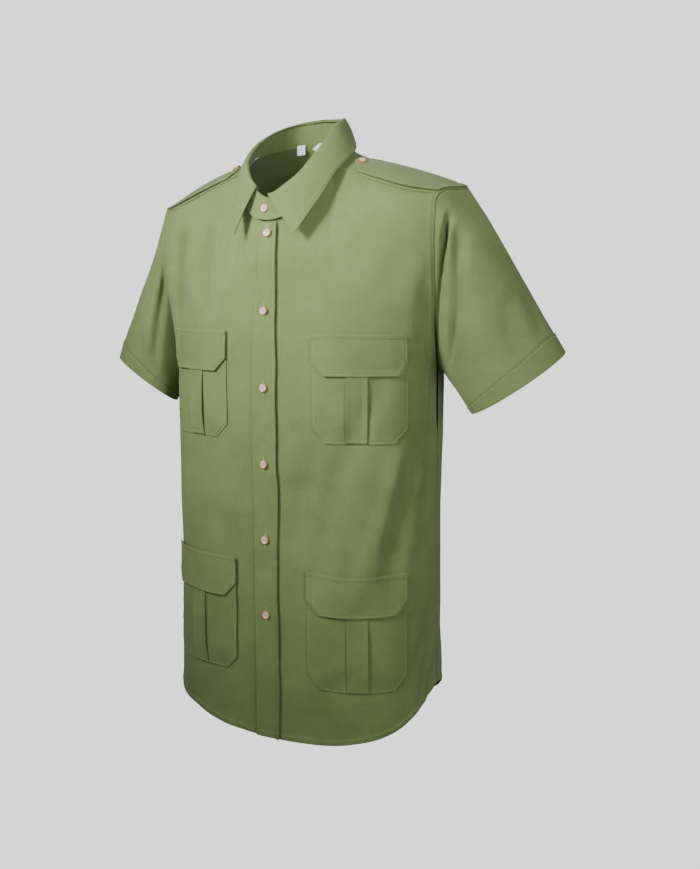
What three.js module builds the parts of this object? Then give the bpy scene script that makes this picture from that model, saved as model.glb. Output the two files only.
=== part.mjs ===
// A short-sleeved utility shirt, filled out as worn, with no wearer inside.
// Millimetres, +Z up. The front faces -Y and +X is the wearer's left.
// The origin is in the middle of the neck opening, where a wearer's neck would hold the shirt.
import * as THREE from 'three';

// Cloth and clearances
const CLOTH = 1.6;
const SEAM = 0.3;
const LAY = 0.85;
const STAND_WALL = 2;
const CUFF_WALL = 2.4;

// Body
const UNDERARM_Z = -257;
const SIDE_Y = 12;
const FRONT_ROUNDNESS = 2.3;
const BACK_ROUNDNESS = 2.05;
const LAP = 18;
const CHEST_FULLNESS = 9;
const BACK_FULLNESS = 7;
// Brings the greatest of the fullness to the millimetres named above
const SWELL_SCALE = 27;
const NECK_SHARE = 0.34;
// Millimetres round the body for a share of 1, where the folds are measured
const ROUND_MM = 185;
// Shares of a front or back at which its top edge is smoothed for the cloth below it
const TOP_KNOTS = [0, 0.2, 0.56, 1];

// Horizontal sections: half width, and where the centre front and centre back stand
const SECTIONS = [
  { z: -760, half: 189, front: -104, back: 110 },
  { z: -650, half: 188, front: -105, back: 108 },
  { z: -550, half: 187, front: -107, back: 106 },
  { z: -450, half: 187, front: -109, back: 107 },
  { z: -350, half: 188, front: -110, back: 113 },
  { z: -257, half: 189, front: -110, back: 120 },
];

// Centre front line from the underarm level to the neck, and centre back line to the yoke
const CENTRE_FRONT = [
  { z: -257, y: -110 },
  { z: -200, y: -110 },
  { z: -140, y: -106 },
  { z: -70, y: -97 },
];
const CENTRE_BACK = [
  { z: -257, y: 120 },
  { z: -190, y: 121 },
  { z: -98, y: 110 },
];

// Shirt-tail hem: how far round from the centre (1 is the side seam, + the wearer's left), and its height
const HEM_FRONT = [
  { round: -1, z: -669 },
  { round: -0.8, z: -692 },
  { round: -0.6, z: -707 },
  { round: -0.4, z: -719 },
  { round: -0.2, z: -732 },
  { round: 0, z: -740 },
  { round: 0.2, z: -743 },
  { round: 0.4, z: -739 },
  { round: 0.6, z: -726 },
  { round: 0.8, z: -701 },
  { round: 1, z: -669 },
];
const HEM_BACK = [
  { round: -1, z: -669 },
  { round: -0.86, z: -672 },
  { round: -0.66, z: -690 },
  { round: -0.4, z: -714 },
  { round: 0, z: -728 },
  { round: 0.4, z: -714 },
  { round: 0.66, z: -690 },
  { round: 0.86, z: -672 },
  { round: 1, z: -669 },
];

// Neck seam by turn from the centre front, in degrees
const NECK = [
  { turn: 0, x: 0, y: -97, z: -70 },
  { turn: 10, x: 12.5, y: -96, z: -68.5 },
  { turn: 25, x: 30, y: -92, z: -60 },
  { turn: 50, x: 53, y: -73, z: -36 },
  { turn: 75, x: 65, y: -44, z: -4 },
  { turn: 100, x: 66, y: -14, z: 17 },
  { turn: 125, x: 55, y: 18, z: 26 },
  { turn: 150, x: 33, y: 40, z: 31 },
  { turn: 180, x: 0, y: 50, z: 33 },
];
const YOKE_FRONT_TURN = 75;

// Collar fold line and the leaf's outer edge, by the same turn.
// The wearer's right side has columns of its own, as it lies lower and closer to the neck.
const FOLD = [
  { turn: 0, x: 0, y: -94, z: -39, rightX: 0, rightZ: -39 },
  { turn: 9, x: 8.5, y: -93, z: -36.5, rightX: 8.5, rightZ: -36.5 },
  { turn: 20, x: 18, y: -90, z: -29, rightX: 18, rightZ: -30 },
  { turn: 40, x: 35, y: -81, z: -12, rightX: 35, rightZ: -15 },
  { turn: 60, x: 48, y: -66, z: 12, rightX: 48, rightZ: 6 },
  { turn: 75, x: 55, y: -48, z: 32, rightX: 54, rightZ: 20 },
  { turn: 90, x: 56, y: -28, z: 50, rightX: 54, rightZ: 34 },
  { turn: 115, x: 50, y: 6, z: 62, rightX: 47, rightZ: 51 },
  { turn: 145, x: 31, y: 34, z: 65, rightX: 30, rightZ: 62 },
  { turn: 180, x: 0, y: 45, z: 67, rightX: 0, rightZ: 67 },
];
const LEAF_EDGE = [
  { turn: 0, x: 46, y: -110, z: -88, rightX: 43, rightZ: -88 },
  { turn: 20, x: 59, y: -99, z: -63, rightX: 48, rightZ: -64 },
  { turn: 40, x: 69, y: -83, z: -38, rightX: 57, rightZ: -41 },
  { turn: 60, x: 76, y: -62, z: -11, rightX: 67, rightZ: -14 },
  { turn: 78, x: 80, y: -38, z: 6, rightX: 74, rightZ: 5 },
  { turn: 95, x: 79, y: -14, z: 18, rightX: 75, rightZ: 18 },
  { turn: 120, x: 63, y: 21, z: 27, rightX: 61, rightZ: 27 },
  { turn: 150, x: 38, y: 52, z: 34, rightX: 38, rightZ: 34 },
  { turn: 180, x: 0, y: 66, z: 36, rightX: 0, rightZ: 36 },
];
const STAND_HEIGHT = 33;
const FOLD_WIDTH = 4.4;
const COLLAR_LAP = 2.6;
const RIGHT_LEAF_START = 22;
const STAND_OVER_END = 18;
const STAND_UNDER_END = 10;

// Armhole by turn from the shoulder point, forwards and down
const ARMHOLE = [
  { turn: 0, x: 224, y: 10, z: -37 },
  { turn: 30, x: 205, y: -33, z: -43 },
  { turn: 60, x: 203, y: -44, z: -78 },
  { turn: 90, x: 202, y: -40, z: -122 },
  { turn: 120, x: 199, y: -28, z: -168 },
  { turn: 150, x: 194, y: -8, z: -226 },
  { turn: 180, x: 189, y: 12, z: -257 },
  { turn: 210, x: 192, y: 40, z: -238 },
  { turn: 240, x: 196, y: 62, z: -192 },
  { turn: 270, x: 200, y: 72, z: -142 },
  { turn: 300, x: 206, y: 67, z: -92 },
  { turn: 330, x: 217, y: 44, z: -54 },
  { turn: 360, x: 224, y: 10, z: -37 },
];
// How the shoulders sit: the wearer's right one is carried lower
const SHOULDERS = {
  left: { x: 5, z: 5 },
  right: { x: 5, z: -14 },
  reach: 224,
  start: -250,
  full: -60,
};
const SHOULDER_MOST = 1.1;
const ARMHOLE_FRONT_TURN = 30;
const ARMHOLE_BACK_TURN = 297;

// Yoke: how the cloth bows between the neck and its outer edge, front seam to centre back
const YOKE_CORNER = 0.5;
// The bow is fullest two thirds of the way out, where this brings it to the millimetres in the table
const BOW_SCALE = 6.75;
const YOKE_BOW = [
  { along: 0, y: -10, z: -6 },
  { along: 0.16, y: 0, z: 6 },
  { along: 0.5, y: 8, z: 12 },
  { along: 1, y: 6, z: 8 },
];

// Sleeves: middle of each opening, its half axes to the top and to the front
const SLEEVES = [
  { name: 'left', side: 1, middle: [295, 18, -275], top: [57, 14, 38], front: [14, -50, -10] },
  { name: 'right', side: -1, middle: [268, 15, -285], top: [56, 15, 28], front: [-18, -52, 8] },
];
const SLEEVE_LENGTH = 247;
const SLEEVE_FULLNESS = 7;
const SLEEVE_SHARES = [0.012, 0.09, 0.24, 0.42, 0.6, 0.76];
const CUFF_STAND = 0.8;
const CUFF_DEPTH = 28;

// Largest folds in the body cloth: two ends (round the body, height), half width and depth
const FOLDS = [
  { round1: -0.74, z1: -85, round2: -0.64, z2: -180, half: 34, depth: 6 },
  { round1: -0.52, z1: -80, round2: -0.42, z2: -160, half: 28, depth: 4 },
  { round1: 0.84, z1: -95, round2: 0.7, z2: -165, half: 34, depth: 4 },
  { round1: 0.12, z1: -400, round2: 0.1, z2: -480, half: 34, depth: 3 },
  { round1: -0.3, z1: -440, round2: -0.12, z2: -540, half: 40, depth: 3 },
  { round1: 0.8, z1: -420, round2: 0.62, z2: -500, half: 40, depth: 3 },
];
const BACK_FOLDS = [
  { round1: 0.5, z1: -200, round2: 0.3, z2: -420, half: 42, depth: 5 },
  { round1: -0.46, z1: -180, round2: -0.34, z2: -400, half: 40, depth: 4 },
  { round1: 0.1, z1: -480, round2: 0.2, z2: -690, half: 44, depth: 4 },
  { round1: -0.62, z1: -460, round2: -0.5, z2: -640, half: 42, depth: 4 },
];

// Patch pockets: distance of the inner edge from the centre front, top, width, height,
// and how far the pleat lies from the middle
const POCKETS = [
  { name: 'chest_pocket_left', side: 1, inner: 67, top: -213, width: 125, height: 139, pleat: -5 },
  { name: 'chest_pocket_right', side: -1, inner: 60, top: -211, width: 118, height: 139, pleat: -6 },
  { name: 'hip_pocket_left', side: 1, inner: 58, top: -516, width: 133, height: 152, pleat: 0 },
  { name: 'hip_pocket_right', side: -1, inner: 49, top: -508, width: 130, height: 152, pleat: 0 },
];
// Above the underarm the front narrows, and pocket sides run straight on by this share a millimetre
const POCKET_SPREAD = 0.0011;
const POCKET_CHAMFER = 17;
const POCKET_BAND = 8;
const FLAP_HEIGHT = 53;
const FLAP_OVERHANG = 0.5;
const PLEAT_WIDTH = 27;

// Epaulettes, as shares of the yoke: from the neck out, and from its front seam back
const EPAULETTE = { point: 0.1, shoulder: 0.225, end: 0.98, frontEdge: 0.012, backEdge: 0.26 };
const EPAULETTE_LIFT = 1.4;
const EPAULETTE_BUTTON_SHARE = 0.08;

// Placket, buttons and tabs
const PLACKET_HALF = 18.5;
const PLACKET_FOLD_LIFT = 2;
const PLACKET_FOOT = 0.995;
const PLACKET_TOP = 0.975;
// The right front sinks under the left one between these shares round from the centre front
const UNDER_LAP = { start: -0.34, span: 0.2, depth: 1.2 };
const BUTTON_RADIUS = 5.7;
const BUTTON_THICK = 2.6;
const BUTTON_HEIGHTS = [-87, -185, -283, -381, -479, -577];
const SIZE_TAB = { turn: -152, width: 10, length: 13, drop: -3, gap: 0.7 };
const NECK_LABEL = { turn: 178, width: 34, length: 14, drop: -4, gap: 0.7 };
const TAB_WALL = 1;
const NECK_MM_PER_DEGREE = 1.05;

// Facets
const FRONT_COLUMNS = 14;
const COLUMN_BUNCHING = 0.85;
const BACK_COLUMNS = 18;
const LOWER_ROWS = 13;
const UPPER_ROWS = 9;
const ROUND_SLEEVE = 24;
const POCKET_COLUMNS = 9;

const fabric = new THREE.MeshStandardMaterial({ color: 0x7d8e66, roughness: 0.9, metalness: 0 });
const pearl = new THREE.MeshStandardMaterial({ color: 0xe9e0d2, roughness: 0.3, metalness: 0 });
const tabWhite = new THREE.MeshStandardMaterial({ color: 0xe8eaee, roughness: 0.8, metalness: 0 });

const shirt = new THREE.Group();

// Small vector and number helpers
const lerp = (a, b, t) => a + (b - a) * t;
const mix = (p, q, t) => p.map((c, i) => lerp(c, q[i], t));
const plus = (p, q, k = 1) => p.map((c, i) => c + k * q[i]);
const minus = (p, q) => p.map((c, i) => c - q[i]);
const cross = (p, q) => [
  p[1] * q[2] - p[2] * q[1],
  p[2] * q[0] - p[0] * q[2],
  p[0] * q[1] - p[1] * q[0],
];
const size = (p) => Math.hypot(...p);
const unit = (p) => p.map((c) => c / (size(p) || 1));
const flip = (p) => [-p[0], p[1], p[2]];
const clamp01 = (t) => Math.min(1, Math.max(0, t));
const smooth = (t) => clamp01(t) ** 2 * (3 - 2 * clamp01(t));
const steps = (count) => Array.from({ length: count + 1 }, (_, i) => i / count);

// Reads a table at a key, on a smooth curve through its rows
function read(rows, key, at, name) {
  const last = rows.length - 1;
  const rising = rows[last][key] > rows[0][key];
  const list = rising ? rows : [...rows].reverse();
  const place = Math.min(list[last][key], Math.max(list[0][key], at));
  let i = 0;
  while (i < last - 1 && place > list[i + 1][key]) i += 1;
  const slope = (j) => {
    const a = list[Math.max(0, j - 1)];
    const b = list[Math.min(last, j + 1)];
    return (b[name] - a[name]) / (b[key] - a[key]);
  };
  const span = list[i + 1][key] - list[i][key];
  const t = (place - list[i][key]) / span;
  const rise = list[i + 1][name] - list[i][name];
  const from = slope(i) * span;
  const to = slope(i + 1) * span;
  return list[i][name] + t * from + t * t * (3 * rise - 2 * from - to) + t ** 3 * (from + to - 2 * rise);
}
// Carries a finished point with its shoulder
function dressed(point) {
  const rest = point[0] < 0 ? SHOULDERS.right : SHOULDERS.left;
  const height = smooth((point[2] - SHOULDERS.start) / (SHOULDERS.full - SHOULDERS.start));
  const share = height * Math.min(SHOULDER_MOST, Math.abs(point[0]) / SHOULDERS.reach) ** 2;
  return plus(point, [rest.x * share, 0, rest.z * share]);
}
const readPoint = (rows, at) => ['x', 'y', 'z'].map((name) => read(rows, 'turn', at, name));
// A place round the neck on one side of the wearer, whose right side may have columns of its own
function besideNeck(rows, at, side) {
  const [x, y, z] = readPoint(rows, at);
  if (side > 0) return [x, y, z];
  if (!('rightX' in rows[0])) return [-x, y, z];
  return [-read(rows, 'turn', at, 'rightX'), y, read(rows, 'turn', at, 'rightZ')];
}
const onNeck = (rows, turn) => besideNeck(rows, Math.abs(turn), turn < 0 ? -1 : 1);

// Front and back of the body, below the underarm
function sectionPoint(face, round, z) {
  const half = read(SECTIONS, 'z', z, 'half');
  const reach = read(SECTIONS, 'z', z, face) - SIDE_Y;
  const power = 2 / (face === 'front' ? FRONT_ROUNDNESS : BACK_ROUNDNESS);
  const angle = (Math.abs(round) * Math.PI) / 2;
  const x = half * Math.sin(angle) ** power * Math.sign(round);
  return [x, SIDE_Y + reach * Math.max(0, Math.cos(angle)) ** power, z];
}
const hemZ = (face, round) => read(face === 'front' ? HEM_FRONT : HEM_BACK, 'round', round, 'z');

// Yoke: from the neck seam (out = 0) to the armhole and back seam (out = 1)
function backSeam(round) {
  const corner = readPoint(ARMHOLE, ARMHOLE_BACK_TURN);
  const centre = CENTRE_BACK[CENTRE_BACK.length - 1];
  const share = Math.abs(round);
  return [corner[0] * round, lerp(centre.y, corner[1], share ** 2.2), lerp(centre.z, corner[2], share ** 2)];
}
function yokePoint(out, along) {
  const inner = onNeck(NECK, lerp(YOKE_FRONT_TURN, 180, along));
  const turn = lerp(ARMHOLE_FRONT_TURN, ARMHOLE_BACK_TURN - 360, along / YOKE_CORNER);
  const outer = along <= YOKE_CORNER
    ? readPoint(ARMHOLE, (turn + 360) % 360)
    : backSeam((1 - along) / (1 - YOKE_CORNER));
  const bow = [0, read(YOKE_BOW, 'along', along, 'y'), read(YOKE_BOW, 'along', along, 'z')];
  return plus(mix(inner, outer, out), bow, BOW_SCALE * out ** 2 * (1 - out));
}

// Top edge of a front or back, on a smooth curve through a few of its points
const softTops = {};
function softTop(face, topAt, share) {
  if (!softTops[face]) {
    softTops[face] = TOP_KNOTS.map((knot) => {
      const [x, y, z] = topAt(knot);
      return { share: knot, x, y, z };
    });
  }
  return ['x', 'y', 'z'].map((name) => read(softTops[face], 'share', share, name));
}

// Front and back above the underarm: a patch between four curves, with the body's fullness
function upperPoint(face, round, up) {
  const share = Math.abs(round);
  const front = face === 'front';
  const centreRows = front ? CENTRE_FRONT : CENTRE_BACK;
  const centreTop = centreRows[centreRows.length - 1].z;
  const centreAt = (t) => {
    const z = lerp(UNDERARM_Z, centreTop, t);
    return [0, read(centreRows, 'z', z, 'y'), z];
  };
  const topAt = (t) => {
    if (!front) return backSeam(t);
    if (t < NECK_SHARE) return onNeck(NECK, (YOKE_FRONT_TURN * t) / NECK_SHARE);
    return yokePoint((t - NECK_SHARE) / (1 - NECK_SHARE), 0);
  };
  const armholeAt = (t) => readPoint(ARMHOLE, lerp(180, front ? ARMHOLE_FRONT_TURN : ARMHOLE_BACK_TURN, t));
  // The corner between the neck seam and the yoke fades out a little way below the top edge
  const soft = softTop(face, topAt, share);
  const low = sectionPoint(face, share, UNDERARM_Z);
  const across = plus(mix(low, soft, up), minus(topAt(share), soft), up ** 3);
  const eased = smooth(share);
  const along = mix(centreAt(up), armholeAt(up), eased);
  const corners = mix(
    mix(sectionPoint(face, 0, UNDERARM_Z), sectionPoint(face, 1, UNDERARM_Z), eased),
    mix(topAt(0), topAt(1), eased),
    up,
  );
  const fullness = front ? -CHEST_FULLNESS : BACK_FULLNESS;
  const swell = fullness * SWELL_SCALE * share ** 2 * (1 - share) * up * (1 - up);
  const point = plus(minus(plus(across, along), corners), [0, swell, 0]);
  return round < 0 ? flip(point) : point;
}
const bodyPoint = (face, round, level) => (level > 0
  ? upperPoint(face, round, level)
  : sectionPoint(face, round, lerp(UNDERARM_Z, hemZ(face, round), -level)));

// Outward direction of a surface given as a function of two shares
function facing(surface, u, v, step = 0.01) {
  const du = minus(surface(u + step, v), surface(u - step, v));
  const dv = minus(surface(u, v + step), surface(u, v - step));
  return unit(cross(du, dv));
}

// Soft troughs: how deep the cloth lies in at a place on the body. They fade out past their ends
const FOLD_FADE_END = 0.7;
const FOLD_FADE_SPAN = 0.35;
function foldDepth(rows, round, z) {
  return rows.reduce((sum, row) => {
    const ends = [(row.round2 - row.round1) * ROUND_MM, row.z2 - row.z1];
    const here = [(round - row.round1) * ROUND_MM, z - row.z1];
    const length = Math.hypot(...ends);
    const along = (here[0] * ends[0] + here[1] * ends[1]) / length ** 2;
    const off = Math.abs(here[0] * ends[1] - here[1] * ends[0]) / length / row.half;
    const fade = smooth((FOLD_FADE_END - Math.abs(along - 0.5)) / FOLD_FADE_SPAN);
    return sum + row.depth * fade * (1 - smooth(off));
  }, 0);
}

// Body cloth with its folds, moved out by lift. Folds fade out at the side seams and the top edge
const INSIDE_SHARE = 0.985;
const CALM_SIDE = 0.88;
const CALM_TOP = 0.8;
function clothPoint(face, round, level, lift = 0) {
  const edge = Math.sign(level || -1) * Math.min(Math.abs(level), INSIDE_SHARE);
  const inside = Math.sign(round) * Math.min(Math.abs(round), INSIDE_SHARE);
  const turned = facing((u, v) => bodyPoint(face, u, v), inside, edge);
  const out = face === 'front' ? turned : turned.map((c) => -c);
  const point = bodyPoint(face, round, level);
  const calm = 1 - smooth((Math.abs(round) - CALM_SIDE) / (1 - CALM_SIDE));
  const depth = foldDepth(face === 'front' ? FOLDS : BACK_FOLDS, round, point[2]) * calm;
  const topCalm = 1 - smooth((level - CALM_TOP) / (1 - CALM_TOP));
  return plus(point, out, lift - depth * topCalm);
}

// Place on the front: distance round from the centre front, and height
const ARC = steps(200).map((share) => sectionPoint('front', share, UNDERARM_Z));
function roundAt(distance) {
  let gone = 0;
  for (let i = 1; i < ARC.length; i += 1) {
    const piece = size(minus(ARC[i], ARC[i - 1]));
    if (gone + piece >= Math.abs(distance)) {
      const share = (i - 1 + (Math.abs(distance) - gone) / piece) / (ARC.length - 1);
      return share * Math.sign(distance);
    }
    gone += piece;
  }
  return Math.sign(distance);
}
const HALVINGS = 24;
function levelAt(face, round, z) {
  if (z <= UNDERARM_Z) return -(UNDERARM_Z - z) / (UNDERARM_Z - hemZ(face, round));
  let low = 0;
  let high = 1;
  for (let i = 0; i < HALVINGS; i += 1) {
    const middle = (low + high) / 2;
    if (bodyPoint(face, round, middle)[2] < z) low = middle;
    else high = middle;
  }
  return low;
}
function frontPoint(distance, z, lift) {
  const round = roundAt(distance);
  return clothPoint('front', round, levelAt('front', round, z), lift);
}

// A closed wall of cloth on a grid of points, its thickness laid on the side away from `show`
function wall(plainGrid, thickness, show, closedRound = false) {
  const grid = plainGrid.map((row) => row.map(dressed));
  const rows = grid.length;
  const columns = grid[0].length;
  const pick = (r, c) => {
    const column = closedRound ? (c + columns) % columns : Math.min(columns - 1, Math.max(0, c));
    return grid[Math.min(rows - 1, Math.max(0, r))][column];
  };
  const far = grid.map((row, r) => row.map((point, c) => {
    const normal = unit(cross(minus(pick(r, c + 1), pick(r, c - 1)), minus(pick(r + 1, c), pick(r - 1, c))));
    return plus(point, normal, -show * thickness);
  }));
  const positions = [...grid.flat(), ...far.flat()];
  const second = rows * columns;
  const faces = [];
  const quad = (a, b, c, d) => faces.push([a, b, c], [a, c, d]);
  const at = (r, c) => r * columns + (c % columns);
  const spans = closedRound ? columns : columns - 1;
  for (let r = 0; r < rows - 1; r += 1) {
    for (let c = 0; c < spans; c += 1) {
      quad(at(r, c), at(r, c + 1), at(r + 1, c + 1), at(r + 1, c));
      quad(second + at(r, c), second + at(r + 1, c), second + at(r + 1, c + 1), second + at(r, c + 1));
    }
  }
  for (let c = 0; c < spans; c += 1) {
    quad(at(0, c + 1), at(0, c), second + at(0, c), second + at(0, c + 1));
    quad(at(rows - 1, c), at(rows - 1, c + 1), second + at(rows - 1, c + 1), second + at(rows - 1, c));
  }
  for (let r = 0; r < rows - 1 && !closedRound; r += 1) {
    quad(at(r, 0), at(r + 1, 0), second + at(r + 1, 0), second + at(r, 0));
    const end = columns - 1;
    quad(at(r + 1, end), at(r, end), second + at(r, end), second + at(r + 1, end));
  }
  const ordered = show > 0 ? faces : faces.map(([a, b, c]) => [a, c, b]);
  const geometry = new THREE.BufferGeometry();
  geometry.setAttribute('position', new THREE.Float32BufferAttribute(positions.flat(), 3));
  geometry.setIndex(ordered.flat());
  geometry.computeVertexNormals();
  return geometry;
}
function addPiece(name, geometry, material) {
  const mesh = new THREE.Mesh(geometry, material);
  mesh.name = name;
  shirt.add(mesh);
}

// Rows of the body panels, from the hem up
const trim = SEAM / 250;
const TOP_TRIM = 0.0055;
const YOKE_TRIM = 0.004;
const BODY_LEVELS = [
  ...steps(LOWER_ROWS).map((t) => t - 1),
  ...steps(UPPER_ROWS).slice(1).map((t) => Math.min(t, 1 - TOP_TRIM)),
];

function addFronts() {
  const lapRound = roundAt(LAP);
  const bunched = steps(FRONT_COLUMNS).map((t) => t ** COLUMN_BUNCHING);
  const leftRounds = bunched.map((t) => lerp(-roundAt(LAP - 2), 1 - trim, t));
  const rightRounds = [...bunched].reverse().map((t) => lerp(lapRound, -1 + trim, t));
  const under = (round) => (
    -(CLOTH + UNDER_LAP.depth) * smooth((round - UNDER_LAP.start) / UNDER_LAP.span));
  const left = BODY_LEVELS.map((level) => leftRounds.map((round) => clothPoint('front', round, level)));
  const right = BODY_LEVELS.map((level) => rightRounds.map((round) => (
    clothPoint('front', round, level, under(round)))));
  addPiece('front_left', wall(left, CLOTH, 1), fabric);
  addPiece('front_right', wall(right, CLOTH, 1), fabric);
}

function addBack() {
  const rounds = steps(BACK_COLUMNS).map((t) => lerp(1 - trim, -1 + trim, t));
  const grid = BODY_LEVELS.map((level) => rounds.map((round) => clothPoint('back', round, level)));
  addPiece('back', wall(grid, CLOTH, 1), fabric);
}

function addYoke() {
  const outs = [YOKE_TRIM, 0.16, 0.34, 0.52, 0.7, 0.86, 1 - 1.5 * YOKE_TRIM];
  const half = steps(14).map((t) => lerp(YOKE_TRIM, 1, t));
  const left = half.map((along) => outs.map((out) => yokePoint(out, along)));
  const right = [...left].reverse().slice(1).map((row) => row.map(flip));
  addPiece('yoke', wall([...left, ...right], CLOTH, 1), fabric);
}

// Sleeves run from the armhole to the opening; along = 1 is the opening's edge
function sleevePoint(sleeve, along, turn, lift = 0) {
  const radians = (turn * Math.PI) / 180;
  const top = unit(sleeve.top);
  const reach = plus(sleeve.top, top, lift);
  const front = plus(sleeve.front, unit(sleeve.front), lift);
  const opening = plus(plus(sleeve.middle, reach, Math.cos(radians)), front, Math.sin(radians));
  const start = readPoint(ARMHOLE, (turn + 360) % 360);
  const across = Math.sin(radians) * Math.abs(Math.sin(radians));
  const fullness = Math.sin(Math.PI * along) * SLEEVE_FULLNESS * across;
  const point = plus(mix(start, opening, along), [0, -fullness, 0]);
  return sleeve.side < 0 ? flip(point) : point;
}
function addSleeves() {
  const turns = steps(ROUND_SLEEVE).slice(0, -1).map((t) => t * 360);
  const cuffStart = 1 - CUFF_DEPTH / SLEEVE_LENGTH;
  for (const sleeve of SLEEVES) {
    const show = sleeve.side;
    const cloth = [...SLEEVE_SHARES, cuffStart - SLEEVE_SHARES[0] / 2];
    const band = [cuffStart, lerp(cuffStart, 1, 0.5), 1];
    const ring = (along, lift) => turns.map((turn) => sleevePoint(sleeve, along, turn, lift));
    const tube = cloth.map((t) => ring(t, 0));
    const cuff = band.map((t) => ring(t, CUFF_STAND));
    addPiece(`sleeve_${sleeve.name}`, wall(tube, CLOTH, show, true), fabric);
    addPiece(`cuff_${sleeve.name}`, wall(cuff, CUFF_WALL, show, true), fabric);
  }
}

// Collar: the left end laps over the right one, so its cloth stands a little further out
const LAP_TURN = 60;
const NECK_MIDDLE_Y = -16;
const STAND_MOST = 0.86;
const lapOut = (turn) => (turn > 0 ? COLLAR_LAP * (1 - smooth(turn / LAP_TURN)) : 0);
function collarOut(turn) {
  const [x, y] = onNeck(FOLD, turn);
  return unit([x, y - NECK_MIDDLE_Y, 0]);
}
function standShare(turn) {
  const height = size(minus(onNeck(FOLD, turn), onNeck(NECK, turn)));
  return Math.min(STAND_MOST, STAND_HEIGHT / height);
}
function standPoint(turn, up, out) {
  const share = SEAM * 2 / STAND_HEIGHT + up * standShare(turn);
  return plus(mix(onNeck(NECK, turn), onNeck(FOLD, turn), share), collarOut(turn), out);
}
// The stand's ends are rounded over a few degrees of turn
const STAND_ROUND_TURN = 7;
const STAND_END_HEIGHT = 0.78;
function addStand() {
  const turns = steps(44).map((t) => lerp(STAND_UNDER_END, -360 - STAND_OVER_END, t));
  const wrap = (turn) => (turn < -180 ? turn + 360 : turn);
  const ups = [0, 0.34, 0.68, 1];
  const rounded = (turn) => {
    const toEnd = Math.min(STAND_UNDER_END - turn, turn + 360 + STAND_OVER_END) / STAND_ROUND_TURN;
    return lerp(STAND_END_HEIGHT, 1, Math.sqrt(1 - (1 - clamp01(toEnd)) ** 2));
  };
  const grid = ups.map((up) => turns.map((turn) => {
    const place = wrap(turn);
    const over = turn < -360 ? COLLAR_LAP : lapOut(turn < -180 ? place : 0);
    return standPoint(place, up * rounded(turn), over);
  }));
  addPiece('collar_stand', wall(grid, STAND_WALL, 1), fabric);
}

// Leaf: up from the stand, over the fold, and down to its outer edge
const LEAF_ABOVE_STAND = 0.6;
const CROWN_RISE = 0.9;
const LEAF_BELLY = 10;
function leafProfile(side, share) {
  const start = side > 0 ? 1 : RIGHT_LEAF_START;
  const turn = lerp(start, 180, share) * side;
  const lap = side > 0 ? lapOut(turn) : 0;
  const out = collarOut(turn);
  const stand = plus(standPoint(turn, 1.03, lap), [0, 0, LEAF_ABOVE_STAND]);
  const fold = plus(onNeck(FOLD, turn), out, lap);
  const edge = plus(besideNeck(LEAF_EDGE, 180 * share, side), out, lap);
  const over = plus(fold, out, FOLD_WIDTH);
  const crown = plus(mix(fold, over, 0.5), [0, 0, CROWN_RISE]);
  const fall = (t) => plus(mix(over, edge, t), out, LEAF_BELLY * t * (1 - t));
  return [stand, mix(stand, fold, 0.55), fold, crown, over, fall(0.25), fall(0.5), fall(0.76), edge];
}
function addLeaf() {
  const half = steps(18);
  const left = half.map((share) => leafProfile(1, share));
  const right = [...half].reverse().slice(1).map((share) => leafProfile(-1, share));
  addPiece('collar_leaf', wall([...left, ...right], CLOTH, 1), fabric);
}

function addPlacket() {
  const acrosses = [-PLACKET_HALF, -PLACKET_HALF / 3, PLACKET_HALF / 3, PLACKET_HALF];
  const grid = BODY_LEVELS.map((level) => acrosses.map((distance) => {
    const lift = LAY + CLOTH + (distance === PLACKET_HALF ? PLACKET_FOLD_LIFT : 0);
    const along = Math.max(-PLACKET_FOOT, Math.min(level, PLACKET_TOP));
    return clothPoint('front', roundAt(distance), along, lift);
  }));
  addPiece('placket_band', wall(grid, CLOTH, 1), fabric);
}

// A patch on the front: rows from the bottom up, each between two distances from the centre
function frontPatch(rows, side, columns, lift) {
  return rows.map((row) => {
    const spread = 1 + POCKET_SPREAD * Math.max(0, row.z - UNDERARM_Z);
    return steps(columns).map((t) => {
      const distance = side > 0 ? lerp(row.near, row.far, t) : -lerp(row.far, row.near, t);
      return frontPoint(distance * spread, row.z, lift);
    });
  });
}
const between = (low, high, count) => steps(count).map((t) => lerp(low, high, t));
function addPockets() {
  for (const pocket of POCKETS) {
    const { name, side, inner, top, width, height } = pocket;
    const bottom = top - height;
    const outline = (z, base, near, far) => {
      const cut = Math.max(0, POCKET_CHAMFER - (z - base));
      return { z, near: near + cut, far: far - cut };
    };
    const heights = [bottom, bottom + POCKET_CHAMFER, ...between(bottom + 40, top - POCKET_BAND, 4)];
    const patch = heights.map((z) => outline(z, bottom, inner, inner + width));
    const patchLift = LAY + CLOTH;
    addPiece(name, wall(frontPatch(patch, side, POCKET_COLUMNS, patchLift), CLOTH, 1), fabric);

    const flapBottom = top - FLAP_HEIGHT;
    const flapHeights = [flapBottom, flapBottom + POCKET_CHAMFER, top - POCKET_BAND, top];
    const flap = flapHeights.map((z) => (
      outline(z, flapBottom, inner - FLAP_OVERHANG, inner + width + FLAP_OVERHANG)));
    const flapLift = patchLift + LAY + CLOTH + 0.1;
    addPiece(`${name}_flap`, wall(frontPatch(flap, side, POCKET_COLUMNS, flapLift), CLOTH, 1), fabric);

    const middle = inner + width / 2 + pocket.pleat;
    const pleatHeights = between(bottom + 1.5, flapBottom - 1, 4);
    const pleat = pleatHeights.map((z) => (
      { z, near: middle - PLEAT_WIDTH / 2, far: middle + PLEAT_WIDTH / 2 }));
    addPiece(`${name}_pleat`, wall(frontPatch(pleat, side, 3, flapLift), CLOTH, 1), fabric);
  }
}

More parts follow.
